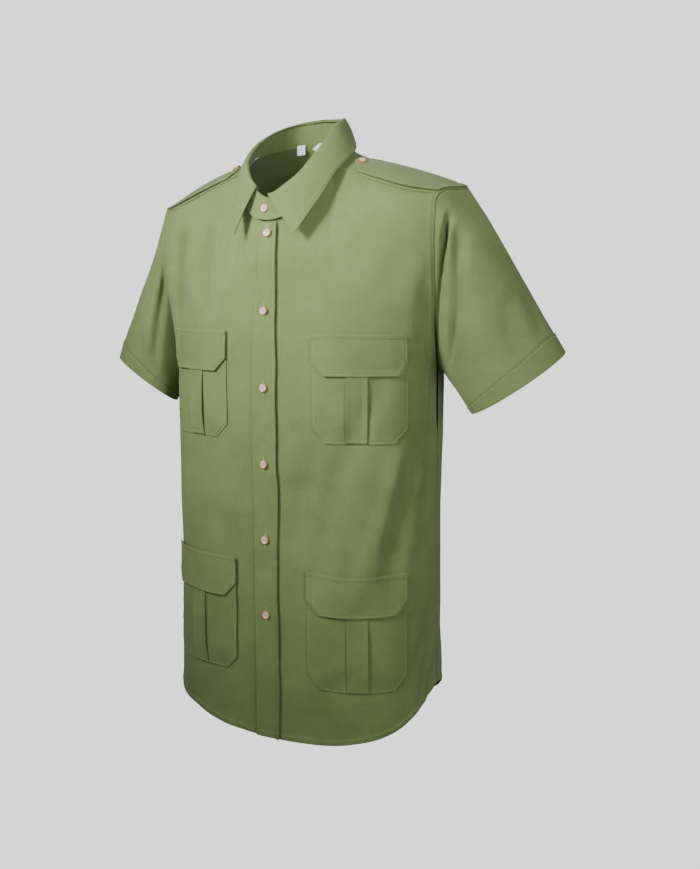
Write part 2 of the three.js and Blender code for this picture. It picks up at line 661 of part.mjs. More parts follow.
// Epaulettes lie on the yoke, from the armhole to a point beside the collar
const YOKE_LIFT = EPAULETTE_LIFT + CLOTH;
function onYoke(out, along, lift) {
  const normal = facing((u, v) => yokePoint(u, v), out, along);
  return plus(yokePoint(out, along), normal, lift);
}
function epaulettePoint(lengthShare, widthShare) {
  const point = 1 - Math.abs(2 * widthShare - 1);
  const start = lerp(EPAULETTE.shoulder, EPAULETTE.point, point);
  const along = lerp(EPAULETTE.frontEdge, EPAULETTE.backEdge, widthShare);
  const lift = YOKE_LIFT + EPAULETTE_LIFT * Math.sin(Math.PI * lengthShare);
  return onYoke(lerp(start, EPAULETTE.end, lengthShare), along, lift);
}
function addEpaulettes() {
  for (const [name, side] of [['left', 1], ['right', -1]]) {
    const grid = steps(4).map((widthShare) => steps(9).map((lengthShare) => {
      const p = epaulettePoint(lengthShare, widthShare);
      return side < 0 ? flip(p) : p;
    }));
    addPiece(`epaulette_${name}`, wall(grid, CLOTH, side), fabric);
  }
}

// A four-hole shirt button: a turned disc with a raised rim, set flat on the cloth
function addButton(name, seat, normal) {
  const dish = BUTTON_THICK - 0.7;
  const profile = [
    [0, 0],
    [BUTTON_RADIUS - 1.2, 0],
    [BUTTON_RADIUS, 1.1],
    [BUTTON_RADIUS - 0.3, BUTTON_THICK - 0.4],
    [BUTTON_RADIUS - 0.9, BUTTON_THICK],
    [BUTTON_RADIUS - 2, dish],
    [0, dish],
  ].map(([r, y]) => new THREE.Vector2(r, y));
  const geometry = new THREE.LatheGeometry(profile, 12);
  const mesh = new THREE.Mesh(geometry, pearl);
  mesh.name = name;
  mesh.position.set(...dressed(plus(seat, normal, 2 * SEAM)));
  mesh.quaternion.setFromUnitVectors(new THREE.Vector3(0, 1, 0), new THREE.Vector3(...normal));
  shirt.add(mesh);
}
const COLLAR_BUTTON_TURN = -4;
function addButtons() {
  const placketLift = LAY + CLOTH;
  BUTTON_HEIGHTS.forEach((z, i) => {
    const seat = frontPoint(0, z, placketLift);
    const normal = unit(minus(frontPoint(0, z, placketLift + 1), seat));
    addButton(`button_${i + 1}`, seat, normal);
  });
  const stand = standPoint(COLLAR_BUTTON_TURN, 0.5, COLLAR_LAP + STAND_WALL);
  addButton('button_collar', stand, unit([-0.04, -1, 0.12]));
  for (const [name, side] of [['left', 1], ['right', -1]]) {
    const seat = epaulettePoint(EPAULETTE_BUTTON_SHARE, 0.5);
    const middle = (EPAULETTE.frontEdge + EPAULETTE.backEdge) / 2;
    const normal = unit(minus(onYoke(EPAULETTE.shoulder, middle, 1), onYoke(EPAULETTE.shoulder, middle, 0)));
    const place = side < 0 ? flip(seat) : seat;
    addButton(`button_epaulette_${name}`, place, side < 0 ? flip(normal) : normal);
  }
}

// Blank tabs hanging inside the back of the neck
function addTab(name, tab) {
  const degrees = tab.width / 2 / NECK_MM_PER_DEGREE;
  const grid = steps(1).map((v) => steps(3).map((u) => {
    const turn = tab.turn + lerp(degrees, -degrees, u);
    const wrapped = turn > 180 ? turn - 360 : turn;
    const place = plus(onNeck(NECK, wrapped), collarOut(wrapped), -TAB_WALL - tab.gap);
    return plus(place, [0, 0, -1], tab.drop + v * tab.length);
  }));
  addPiece(name, wall(grid, TAB_WALL, 1), tabWhite);
}

addFronts();
addBack();
addYoke();
addSleeves();
addStand();
addLeaf();
addPlacket();
addPockets();
addEpaulettes();
addButtons();
addTab('size_tab', SIZE_TAB);
addTab('neck_label', NECK_LABEL);

export default shirt;
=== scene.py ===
"""A short-sleeved olive utility shirt: cloth panels, sewing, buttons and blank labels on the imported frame."""
import math
from functools import partial

import bpy
import numpy as np
from mathutils import Matrix, Vector


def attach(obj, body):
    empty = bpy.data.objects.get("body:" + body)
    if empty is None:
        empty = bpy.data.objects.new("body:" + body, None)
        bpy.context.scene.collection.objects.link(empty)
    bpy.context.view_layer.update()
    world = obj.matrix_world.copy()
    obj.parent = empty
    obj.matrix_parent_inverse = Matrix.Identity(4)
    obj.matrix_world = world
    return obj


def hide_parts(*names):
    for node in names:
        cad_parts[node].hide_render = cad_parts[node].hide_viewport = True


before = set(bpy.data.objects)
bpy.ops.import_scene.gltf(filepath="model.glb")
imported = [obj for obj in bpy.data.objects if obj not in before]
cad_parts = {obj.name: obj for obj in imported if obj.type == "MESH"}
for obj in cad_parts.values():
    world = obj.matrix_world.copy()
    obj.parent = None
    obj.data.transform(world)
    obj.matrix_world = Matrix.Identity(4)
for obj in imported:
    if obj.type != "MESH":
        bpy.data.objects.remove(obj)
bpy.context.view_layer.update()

MM = 0.001

# Camera: turned round the shirt, tipped down a little, with a long lens; degrees and metres
CAMERA_AZIMUTH = 28
CAMERA_PITCH = 5.5
CAMERA_DISTANCE = 2.1
CAMERA_ASIDE = 0.0575
CAMERA_HEIGHT = -0.15
LENS = 65.25
FLOOR_Z = -1.45

# Cloth and its layers, then the sizes of the body's form, all in millimetres but for the two roundnesses
CLOTH = 0.9
INTERFACED = 1.6
LAYER = 1.55
UNDERARM_Z = -257
SIDE_Y = 12
FRONT_ROUNDNESS = 2.3
BACK_ROUNDNESS = 2.05
LAP = 18
CHEST_FULLNESS = 9
BACK_FULLNESS = 7
SWELL_SCALE = 27
NECK_SHARE = 0.34
ROUND_MM = 185
SIDE_MM = 1.35 * ROUND_MM


def table(names, rows):
    """A short table as named columns."""
    return dict(zip(names.split(), np.array(rows, float).T))


# Horizontal sections: half width, and where the centre front and centre back stand
SECTIONS = table("z half front back", [
    (-760, 189, -104, 110),
    (-650, 188, -105, 108),
    (-550, 187, -107, 106),
    (-450, 187, -109, 107),
    (-350, 188, -110, 113),
    (-257, 189, -110, 120),
])
CENTRE_FRONT = table("z y", [(-257, -110), (-200, -110), (-140, -106), (-70, -97)])
CENTRE_BACK = table("z y", [(-257, 120), (-190, 121), (-98, 110)])

# Shirt-tail hem: how far round from the centre (1 is the side seam), and its height
HEM_FRONT = table("round z", [
    (-1, -669), (-0.8, -692), (-0.6, -707), (-0.4, -719), (-0.2, -732), (0, -740),
    (0.2, -743), (0.4, -739), (0.6, -726), (0.8, -701), (1, -669),
])
HEM_BACK = table("round z", [
    (-1, -669), (-0.86, -672), (-0.66, -690), (-0.4, -714), (0, -728),
    (0.4, -714), (0.66, -690), (0.86, -672), (1, -669),
])

# Neck seam, collar fold and the leaf's outer edge, by turn from the centre front in degrees
NECK = table("turn x y z", [
    (0, 0, -97, -70), (10, 12.5, -96, -68.5), (25, 30, -92, -60), (50, 53, -73, -36), (75, 65, -44, -4),
    (100, 66, -14, 17), (125, 55, 18, 26), (150, 33, 40, 31), (180, 0, 50, 33),
])
# The wearer's right side has columns of its own, as it lies lower and closer to the neck
FOLD = table("turn x y z right_x right_z", [
    (0, 0, -94, -39, 0, -39), (9, 8.5, -93, -36.5, 8.5, -36.5), (20, 18, -90, -29, 18, -30),
    (40, 35, -81, -12, 35, -15), (60, 48, -66, 12, 48, 6), (75, 55, -48, 32, 54, 20),
    (90, 56, -28, 50, 54, 34), (115, 50, 6, 62, 47, 51), (145, 31, 34, 65, 30, 62), (180, 0, 45, 67, 0, 67),
])
LEAF_EDGE = table("turn x y z right_x right_z", [
    (0, 46, -110, -88, 43, -88), (20, 59, -99, -63, 48, -64), (40, 69, -83, -38, 57, -41),
    (60, 76, -62, -11, 67, -14), (78, 80, -38, 6, 74, 5), (95, 79, -14, 18, 75, 18),
    (120, 63, 21, 27, 61, 27), (150, 38, 52, 34, 38, 34), (180, 0, 66, 36, 0, 36),
])
YOKE_FRONT_TURN = 75
STAND_HEIGHT = 33
STAND_OVER_END = 18
STAND_UNDER_END = 10
RIGHT_LEAF_START = 22
COLLAR_LAP = 2.6
CROWN_RISE = 0.9
FOLD_WIDTH = 4.4
STAND_MOST = 0.86
LEAF_LENGTH = 210
LEAF_DEPTH = 62
NECK_PER_DEGREE = 1.05

# Armhole by turn from the shoulder point, forwards and down
ARMHOLE = table("turn x y z", [
    (0, 224, 10, -37), (30, 205, -33, -43), (60, 203, -44, -78), (90, 202, -40, -122),
    (120, 199, -28, -168), (150, 194, -8, -226), (180, 189, 12, -257), (210, 192, 40, -238),
    (240, 196, 62, -192), (270, 200, 72, -142), (300, 206, 67, -92), (330, 217, 44, -54),
    (360, 224, 10, -37),
])
ARMHOLE_FRONT_TURN = 30
ARMHOLE_BACK_TURN = 297
SHOULDERS = {"left": (5, 5), "right": (5, -14)}
SHOULDER_REACH = 224
SHOULDER_START = -250
SHOULDER_FULL = -60
YOKE_CORNER = 0.5
YOKE_LENGTH = 330
YOKE_WIDTH = 150
YOKE_BACK_DEPTH = 115
FAR_AWAY = 1000
BOW_SCALE = 6.75
YOKE_BOW = table("along y z", [(0, -10, -6), (0.16, 0, 6), (0.5, 8, 12), (1, 6, 8)])

# Sleeves: middle of the opening, its half axes to the top and the front, and the cuff's flat width in metres
SLEEVES = {
    "left": {
        "side": 1, "middle": (295, 18, -275), "top": (57, 14, 38), "front": (14, -50, -10), "cuff": 0.37,
    },
    "right": {
        "side": -1, "middle": (268, 15, -285), "top": (56, 15, 28), "front": (-18, -52, 8), "cuff": 0.335,
    },
}
SLEEVE_LENGTH = 247
SLEEVE_FULLNESS = 7
CUFF_DEPTH = 28
CUFF_START = 1 - CUFF_DEPTH / SLEEVE_LENGTH

# Creases laid in the cloth: two ends, half width, depth (below 0 is a ridge) and sideways bow.
# On the body an end is a share round from the centre front or back, and a height.
CREASE_COLUMNS = "at1 z1 at2 z2 half depth bow"
CREASE_FADE_END = 0.7
CREASE_FADE_SPAN = 0.35
FRONT_CREASES = table(CREASE_COLUMNS, [
    (-0.74, -85, -0.64, -180, 34, 6, 0),
    (-0.52, -80, -0.42, -160, 28, 4, 0),
    (0.84, -95, 0.7, -165, 34, 4, 0),
    (0.12, -400, 0.1, -480, 34, 3, 0),
    (-0.3, -440, -0.12, -540, 40, 3, 0),
    (0.8, -420, 0.62, -500, 40, 3, 0),
    (-0.72, -78, -0.62, -215, 14, 8, 3),
    (-0.46, -76, -0.38, -170, 12, 5.4, 3),
    (-0.3, -90, -0.26, -150, 13, 3.0, 2),
    (-0.14, -96, -0.17, -165, 13, 1.5, -2),
    (0.17, -150, 0.15, -330, 24, 2.2, 4),
    (0.3, -100, 0.42, -190, 30, -1.6, 6),
    (0.975, -190, 0.97, -330, 15, 12, 0),
    (0.94, -150, 0.88, -300, 17, 2.8, 4),
    (0.5, -290, 0.2, -540, 22, 5.0, 9),
    (0.66, -360, 0.38, -560, 19, -3.4, -6),
    (0.24, -340, 0.12, -500, 17, 3.2, 5),
    (0.8, -360, 0.6, -560, 20, 4.2, 8),
    (0.92, -330, 0.84, -500, 18, 3.0, -5),
    (0.34, -650, 0.14, -738, 18, 2.8, 5),
    (0.5, -690, 0.36, -742, 18, 1.6, -4),
    (0.98, -590, 0.83, -690, 10, 3.4, 4),
    (0.99, -630, 0.9, -690, 8, 2.2, 3),
    (0.93, -560, 0.78, -640, 14, 1.3, -4),
    (-0.12, -560, -0.3, -700, 24, 1.9, 7),
    (-0.2, -640, -0.44, -716, 20, 2.1, -5),
    (-0.9, -330, -0.84, -500, 20, 2.1, 5),
    (-0.16, -300, -0.2, -420, 18, 1.3, -4),
])
BACK_CREASES = table(CREASE_COLUMNS, [
    (0.5, -200, 0.3, -420, 42, 5, 0),
    (-0.46, -180, -0.34, -400, 40, 4, 0),
    (0.1, -480, 0.2, -690, 44, 4, 0),
    (-0.62, -460, -0.5, -640, 42, 4, 0),
    (0.84, -140, 0.66, -300, 24, 3.4, 8),
    (-0.86, -130, -0.7, -290, 26, 3.2, -8),
    (0.3, -130, 0.26, -300, 22, 1.6, 4),
    (-0.22, -130, -0.2, -280, 24, 1.8, -5),
    (0.02, -200, -0.06, -420, 26, 1.7, 6),
    (0.78, -380, 0.6, -560, 28, 2.2, 6),
    (-0.14, -440, -0.24, -640, 22, 2.0, -6),
    (0.92, -560, 0.76, -670, 14, 2.2, 4),
    (-0.93, -550, -0.78, -668, 14, 2.2, -4),
    (0.44, -600, 0.4, -712, 18, 1.6, 3),
    (-0.34, -610, -0.36, -716, 20, 1.7, -3),
])
# On a sleeve an end is a turn from the top, forwards, in degrees, and millimetres down from the armhole
SLEEVE_CREASES = {
    "left": table(CREASE_COLUMNS, [
        (46, 27, 140, 7, 10, 19, 0),
        (42, 52, 134, 86, 22, 9, 0),
        (40, 150, 62, 216, 22, 2.2, 5),
        (12, 160, 30, 222, 16, 1.4, -3),
        (60, 170, 34, 214, 12, 1.6, 3),
        (262, 20, 250, 190, 19, 5.5, 5),
        (300, 40, 286, 210, 22, 3.0, -5),
        (330, 110, 318, 215, 18, 1.8, 4),
        (186, 50, 190, 200, 16, 3.2, 3),
    ]),
    "right": table(CREASE_COLUMNS, [
        (100, 8, 116, 180, 17, 4.0, 4),
        (70, 30, 84, 200, 18, 3.8, -5),
        (46, 60, 52, 190, 14, 2.4, 5),
        (26, 140, 40, 214, 16, 1.5, -3),
        (258, 20, 252, 190, 19, 5.0, 5),
        (296, 50, 288, 205, 22, 3.2, -5),
        (326, 120, 312, 215, 18, 1.7, 4),
        (184, 40, 188, 200, 16, 3.0, 3),
    ]),
}

# Patch pockets: side, distance of the inner edge from the centre front, top, width, height, how far the pleat
# is off the middle, how far the top edge dips in the middle and rises at its outer end
POCKET_COLUMNS = ("side", "inner", "top", "width", "height", "pleat", "dip", "tilt")
POCKET_ROWS = {
    "chest_pocket_left": (1, 67, -213, 125, 139, -5, 0.6, 0),
    "chest_pocket_right": (-1, 60, -211, 118, 139, -6, 0, 3),
    "hip_pocket_left": (1, 58, -516, 133, 152, 0, 4.5, 0),
    "hip_pocket_right": (-1, 49, -505, 130, 152, 0, 1, 7),
}
POCKETS = {name: dict(zip(POCKET_COLUMNS, row)) for name, row in POCKET_ROWS.items()}
POCKET_SPREAD = 0.0011
POCKET_CHAMFER = 17
FLAP_HEIGHT = 53
PLEAT_WIDTH = 27

# Epaulettes as shares of the yoke: from the neck out, and from its front seam back
STRAP_POINT = 0.1
STRAP_SHOULDER = 0.225
STRAP_END = 0.98
STRAP_FRONT = 0.012
STRAP_BACK = 0.26
STRAP_LENGTH = 140
STRAP_WIDTH = 46

PLACKET_HALF = 18.5
BUTTON_RADIUS = 5.7
BUTTON_THICK = 2.6
HOLE_PLACE = 1.35
BUTTON_HEIGHTS = (-87, -185, -283, -381, -479, -577)
SIZE_TAB = {"turn": -152, "width": 10, "length": 13, "drop": -3}
NECK_LABEL = {"turn": 178, "width": 34, "length": 14, "drop": -4}

# Sewing: stitches, the hem's depth and the rows of stitches in from an edge
STITCH_LENGTH = 2.5
STITCH_PITCH = 3.3
STITCH_WIDTH = 1.0
HEM_DEPTH = 7
EDGE_ROW = 2.6
ARMHOLE_ROWS = (2.2, 7.4)
BUTTONHOLE_HALF = 10.5


# Number helpers, for single values and whole grids alike
def vec(x, y, z):
    return np.stack(np.broadcast_arrays(x, y, z), axis=-1).astype(float)


def lerp(a, b, t):
    return a + (b - a) * t


def mix(p, q, t):
    return p + (q - p) * np.asarray(t, float)[..., None]


def smooth(t):
    t = np.clip(t, 0, 1)
    return t * t * (3 - 2 * t)


def unit(p):
    return p / np.maximum(np.linalg.norm(p, axis=-1, keepdims=True), 1e-9)


def flip(p):
    return p * np.array([-1, 1, 1])


def to_side(p, side):
    """A point of the wearer's left side, carried over to the right side where side is -1."""
    return flip(p) if side < 0 else p


def both_sides(line, out):
    """A sewing line of the wearer's left side and the same line on the right."""
    return [(line, out), (flip(line), flip(out))]


def read(rows, key, at, name):
    """Reads a table at a key, on a smooth curve through its rows."""
    keys, values = rows[key], rows[name]
    last = len(keys) - 1
    index = np.arange(last + 1)
    before, after = np.maximum(index - 1, 0), np.minimum(index + 1, last)
    slopes = (values[after] - values[before]) / (keys[after] - keys[before])
    place = np.clip(at, keys[0], keys[-1])
    i = np.clip(np.searchsorted(keys, place, side="right") - 1, 0, last - 1)
    span = keys[i + 1] - keys[i]
    t = (place - keys[i]) / span
    rise = values[i + 1] - values[i]
    start, end = slopes[i] * span, slopes[i + 1] * span
    return values[i] + t * start + t**2 * (3 * rise - 2 * start - end) + t**3 * (start + end - 2 * rise)


def read_point(rows, at):
    return vec(*(read(rows, "turn", at, name) for name in "xyz"))


def beside_neck(rows, at, right):
    """A place round the neck; the wearer's right side may have columns of its own."""
    point = read_point(rows, at)
    own = vec(read(rows, "turn", at, "right_x"), point[..., 1], read(rows, "turn", at, "right_z")) \
        if "right_x" in rows else point
    return np.where(np.asarray(right)[..., None], flip(own), point)


def on_neck(rows, turn):
    turn = np.asarray(turn, float)
    return beside_neck(rows, np.abs(turn), turn < 0)


def through(points, count):
    """A smooth curve through a stack of points, or of rows of points."""
    last = len(points) - 1
    at = np.linspace(0, last, count)
    i = np.clip(at.astype(int), 0, last - 1)
    t = (at - i).reshape(-1, *([1] * (points.ndim - 1)))
    index = np.arange(last + 1)
    before, after = np.maximum(index - 1, 0), np.minimum(index + 1, last)
    span = (after - before).reshape(-1, *([1] * (points.ndim - 1)))
    slopes = (points[after] - points[before]) / span
    rise = points[i + 1] - points[i]
    start, end = slopes[i], slopes[i + 1]
    return points[i] + t * start + t**2 * (3 * rise - 2 * start - end) + t**3 * (start + end - 2 * rise)


def dressed(point):
    """Carries a finished point with its shoulder."""
    left = point[..., 0] >= 0
    height = smooth((point[..., 2] - SHOULDER_START) / (SHOULDER_FULL - SHOULDER_START))
    share = height * np.minimum(1.1, np.abs(point[..., 0]) / SHOULDER_REACH) ** 2
    out = np.where(left, SHOULDERS["left"][0], SHOULDERS["right"][0])
    up = np.where(left, SHOULDERS["left"][1], SHOULDERS["right"][1])
    return point + vec(out * share, 0, up * share)


# Base form of the body
def section_point(face, round_, z):
    half = read(SECTIONS, "z", z, "half")
    reach = read(SECTIONS, "z", z, face) - SIDE_Y
    power = 2 / (FRONT_ROUNDNESS if face == "front" else BACK_ROUNDNESS)
    angle = np.abs(round_) * math.pi / 2
    x = half * np.sin(angle) ** power * np.sign(round_)
    return vec(x, SIDE_Y + reach * np.maximum(0, np.cos(angle)) ** power, z)


def hem_z(face, round_):
    return read(HEM_FRONT if face == "front" else HEM_BACK, "round", round_, "z")


def back_seam(round_):
    corner = read_point(ARMHOLE, ARMHOLE_BACK_TURN)
    share = np.abs(round_)
    y = lerp(CENTRE_BACK["y"][-1], corner[1], share**2.2)
    return vec(corner[0] * round_, y, lerp(CENTRE_BACK["z"][-1], corner[2], share**2))


def yoke_point(out, along):
    """Yoke from the neck seam (out 0) to the armhole and back seam (out 1)."""
    out, along = np.broadcast_arrays(np.asarray(out, float), np.asarray(along, float))
    inner = on_neck(NECK, lerp(YOKE_FRONT_TURN, 180, along))
    turn = lerp(ARMHOLE_FRONT_TURN, ARMHOLE_BACK_TURN - 360, along / YOKE_CORNER)
    armhole = read_point(ARMHOLE, (turn + 360) % 360)
    seam = back_seam((1 - along) / (1 - YOKE_CORNER))
    outer = np.where((along <= YOKE_CORNER)[..., None], armhole, seam)
    bow = vec(0, read(YOKE_BOW, "along", along, "y"), read(YOKE_BOW, "along", along, "z"))
    return mix(inner, outer, out) + bow * (BOW_SCALE * out**2 * (1 - out))[..., None]


def top_line(face, share):
    """Top edge of a front or back: the neck seam and then the yoke's seam."""
    if face == "back":
        return back_seam(share)
    neck = on_neck(NECK, YOKE_FRONT_TURN * share / NECK_SHARE)
    seam = yoke_point((share - NECK_SHARE) / (1 - NECK_SHARE), 0)
    return np.where((share < NECK_SHARE)[..., None], neck, seam)


TOP_KNOTS = np.array([0, 0.2, 0.56, 1])
TOP_SOFT = {
    face: {"share": TOP_KNOTS, **dict(zip("xyz", top_line(face, TOP_KNOTS).T))} for face in ("front", "back")
}


def upper_point(face, round_, up):
    """Front or back above the underarm: a patch between four curves, with the body's fullness."""
    share = np.abs(round_)
    front = face == "front"
    rows = CENTRE_FRONT if front else CENTRE_BACK
    centre_z = lerp(UNDERARM_Z, rows["z"][-1], up)
    centre = vec(0, read(rows, "z", centre_z, "y"), centre_z)
    turn = lerp(180, ARMHOLE_FRONT_TURN if front else ARMHOLE_BACK_TURN, up)
    armhole = read_point(ARMHOLE, turn)
    low = section_point(face, share, np.full_like(share, UNDERARM_Z))
    low0 = section_point(face, np.zeros_like(share), np.full_like(share, UNDERARM_Z))
    low1 = section_point(face, np.ones_like(share), np.full_like(share, UNDERARM_Z))
    top = top_line(face, share)
    soft = vec(*(read(TOP_SOFT[face], "share", share, name) for name in "xyz"))
    top0, top1 = top_line(face, np.zeros_like(share)), top_line(face, np.ones_like(share))
    across = mix(low, soft, up) + (top - soft) * (np.asarray(up) ** 3)[..., None]
    eased = smooth(share)
    along = mix(centre, armhole, eased)
    corners = mix(mix(low0, low1, eased), mix(top0, top1, eased), up)
    fullness = -CHEST_FULLNESS if front else BACK_FULLNESS
    swell = SWELL_SCALE * share**2 * (1 - share) * up * (1 - up) * fullness
    point = across + along - corners + vec(0, swell, 0)
    point[..., 0] *= np.where(np.asarray(round_) < 0, -1, 1)
    return point


def body_point(face, round_, level):
    """The plain body: level runs from -1 at the hem through 0 at the underarm to 1 at the top edge."""
    round_, level = np.broadcast_arrays(np.asarray(round_, float), np.asarray(level, float))
    lower_z = lerp(UNDERARM_Z, hem_z(face, round_), -level)
    lower = section_point(face, round_, np.minimum(lower_z, UNDERARM_Z))
    upper = upper_point(face, round_, np.maximum(level, 0))
    return np.where((level > 0)[..., None], upper, lower)


def facing(surface, u, v, step=0.01):
    """The way out of a surface at two places on it."""
    du = surface(u + step, v) - surface(u - step, v)
    dv = surface(u, v + step) - surface(u, v - step)
    return unit(np.cross(du, dv))


# Relief of the cloth: creases, puckers and a slow unevenness
def crease_depth(rows, a, b):
    """Depth of all creases of a table at a place, both in millimetres."""
    total = np.zeros(np.broadcast(a, b).shape)
    for at1, z1, at2, z2, half, depth, bow in zip(*(rows[column] for column in CREASE_COLUMNS.split())):
        run, rise = at2 - at1, z2 - z1
        length = math.hypot(run, rise)
        along = ((a - at1) * run + (b - z1) * rise) / length**2
        aside = ((a - at1) * rise - (b - z1) * run) / length - bow * 4 * along * (1 - along)
        fade = smooth((CREASE_FADE_END - np.abs(along - 0.5)) / CREASE_FADE_SPAN)
        total += depth * fade * (1 - smooth(np.abs(aside) / half))
    return total


def in_millimetres(rows, scale):
    return {**rows, "at1": rows["at1"] * scale, "at2": rows["at2"] * scale}


def pucker(along, away, reach, height, seed=0.0):
    """Small gathers that a row of sewing draws up beside it."""
    waves = np.sin(along / 1.9 + seed) + 0.7 * np.sin(along / 3.1 + 1.7 * seed)
    waves = waves + 0.6 * np.sin(along / 5.3 - seed)
    strength = 0.5 + 0.5 * np.sin(along / 23 + 2.3 * seed)
    return height * waves * strength * np.exp(-((away / reach) ** 2))


def groove(away, depth=0.55):
    """The narrow channel that a row of sewing draws into the cloth."""
    return -depth * np.exp(-((away / 0.9) ** 2))


def unevenness(a, b, seed):
    """Slow rise and fall that keeps a panel from lying dead flat."""
    return (
        0.55 * np.sin(a / 31 + b / 47 + seed)
        + 0.45 * np.sin(a / 19 - b / 61 + 2.1 * seed)
        + 0.35 * np.sin(a / 43 + b / 23 - 1.3 * seed)
        + 0.16 * np.sin(a / 9.5 + b / 14 + 3.1 * seed)
    )


BODY_CREASES = {
    "front": in_millimetres(FRONT_CREASES, ROUND_MM),
    "back": in_millimetres(BACK_CREASES, ROUND_MM),
}


def body_relief(face, round_, level, base):
    """How far the body cloth stands out from its plain form."""
    a, z = round_ * ROUND_MM, base[..., 2]
    calm_side = 1 - 0.7 * smooth((np.abs(round_) - 0.9) / 0.1)
    calm_top = 1 - smooth((level - 0.92) / 0.08)
    calm = calm_side * calm_top
    relief = -crease_depth(BODY_CREASES[face], a, z) * calm
    relief = relief + unevenness(a, z, 1.0 if face == "front" else 4.0) * calm * 0.8
    from_side = (1 - np.abs(round_)) * SIDE_MM
    armhole = smooth((level - 0.02) / 0.03)
    relief = relief + 0.8 * armhole * (1 - smooth((from_side - 8.5) / 2.5))
    relief = relief + armhole * pucker(z, from_side - 5, reach=6, height=0.16, seed=1.0)
    side = 1 - armhole
    relief = relief - side * 0.7 * np.exp(-((from_side / 2.2) ** 2))
    relief = relief + side * pucker(z, from_side, reach=8, height=0.15, seed=2.0)
    from_hem = z - hem_z(face, round_)
    relief = relief + 0.55 * (1 - smooth((from_hem - HEM_DEPTH) / 1.6)) * side
    relief = relief + side * pucker(a, from_hem - HEM_DEPTH, reach=7, height=0.2, seed=3.0)
    if face == "front":
        relief = relief + pucker(z, np.abs(a) - 17, reach=7, height=0.13, seed=4.0) * calm_top
    return relief


def cloth(face, round_, level, lift=0.0):
    """A point of the finished body cloth, moved out by lift."""
    round_, level = np.broadcast_arrays(np.asarray(round_, float), np.asarray(level, float))
    inside = np.clip(round_, -0.985, 0.985)
    edge = np.clip(level, -0.985, 0.985)
    edge = np.where(np.abs(edge) < 0.02, -0.02, edge)
    normal = facing(partial(body_point, face), inside, edge)
    if face == "back":
        normal = -normal
    base = body_point(face, round_, level)
    out = lift + body_relief(face, round_, level, base)
    return base + normal * np.asarray(out)[..., None]


ARC_SHARES = np.linspace(0, 1, 201)
ARC = section_point("front", ARC_SHARES, np.full(201, float(UNDERARM_Z)))
ARC_GONE = np.concatenate([[0], np.cumsum(np.linalg.norm(np.diff(ARC, axis=0), axis=1))])


def round_at(distance):
    """How far round the front a distance along its cloth is."""
    return np.interp(np.abs(distance), ARC_GONE, ARC_SHARES) * np.sign(distance)


def level_at(face, round_, z):
    """The level at which the body has a height."""
    round_, z = np.broadcast_arrays(np.asarray(round_, float), np.asarray(z, float))
    below = -(UNDERARM_Z - z) / (UNDERARM_Z - hem_z(face, round_))
    low, high = np.zeros_like(z), np.ones_like(z)
    for _ in range(18):
        middle = (low + high) / 2
        under = body_point(face, round_, middle)[..., 2] < z
        low, high = np.where(under, middle, low), np.where(under, high, middle)
    return np.where(z <= UNDERARM_Z, below, low)


def on_front(distance, z, lift=0.0):
    """A point on the front at a distance round from its centre, and a height."""
    round_ = round_at(distance)
    return cloth("front", round_, level_at("front", round_, z), lift)


# Making pieces
def deselect():
    if bpy.context.object is not None and bpy.context.object.mode != "OBJECT":
        bpy.ops.object.mode_set(mode="OBJECT")
    bpy.ops.object.select_all(action="DESELECT")


def lay_cloth(name, points, thickness, material, closed=False, show=1, smooth_angle=50):
    """A sheet: a grid laid on the form, with its thread lines as UV in millimetres, given a wall."""
    deselect()
    points = dressed(points)
    rows, columns = points.shape[:2]
    bpy.ops.mesh.primitive_grid_add(x_subdivisions=columns - 1, y_subdivisions=rows - 1, size=1)
    piece = bpy.context.object
    piece.name = name
    mesh = piece.data
    mesh.name = name
    mesh.vertices.foreach_set("co", (points * MM).ravel())
    across = np.linalg.norm(np.diff(points, axis=1), axis=-1)
    upward = np.linalg.norm(np.diff(points, axis=0), axis=-1).mean(axis=1)
    u = np.concatenate([np.zeros((rows, 1)), np.cumsum(across, axis=1)], axis=1)
    v = np.concatenate([[0], np.cumsum(upward)])
    thread = np.stack([u - u[:, columns // 2, None], np.broadcast_to(v[:, None], u.shape)], axis=-1)
    corners = np.empty(len(mesh.loops), int)
    mesh.loops.foreach_get("vertex_index", corners)
    mesh.uv_layers[0].data.foreach_set("uv", thread.reshape(-1, 2)[corners].ravel())
    mesh.update()
    if closed or show < 0:
        bpy.ops.object.mode_set(mode="EDIT")
        bpy.ops.mesh.select_all(action="SELECT")
        if closed:
            bpy.ops.mesh.remove_doubles(threshold=0.00002)
        if show < 0:
            bpy.ops.mesh.flip_normals()
        bpy.ops.object.mode_set(mode="OBJECT")
    if thickness:
        wall = piece.modifiers.new("wall", "SOLIDIFY")
        wall.thickness = thickness * MM
        wall.offset = -1
        bpy.ops.object.modifier_apply(modifier=wall.name)
    bpy.ops.object.shade_smooth_by_angle(angle=math.radians(smooth_angle))
    mesh.materials.clear()
    mesh.materials.append(material)
    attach(piece, "root")
    return piece


def stitch_form():
    """One stitch: a short fat thread with pointed ends, of sixteen faces."""
    deselect()
    bpy.ops.mesh.primitive_uv_sphere_add(segments=4, ring_count=4, radius=0.5)
    piece = bpy.context.object
    points = np.array([v.co[:] for v in piece.data.vertices])
    faces = [list(p.vertices) for p in piece.data.polygons]
    bpy.data.objects.remove(piece)
    return points, faces


STITCH_POINTS, STITCH_FACES = stitch_form()


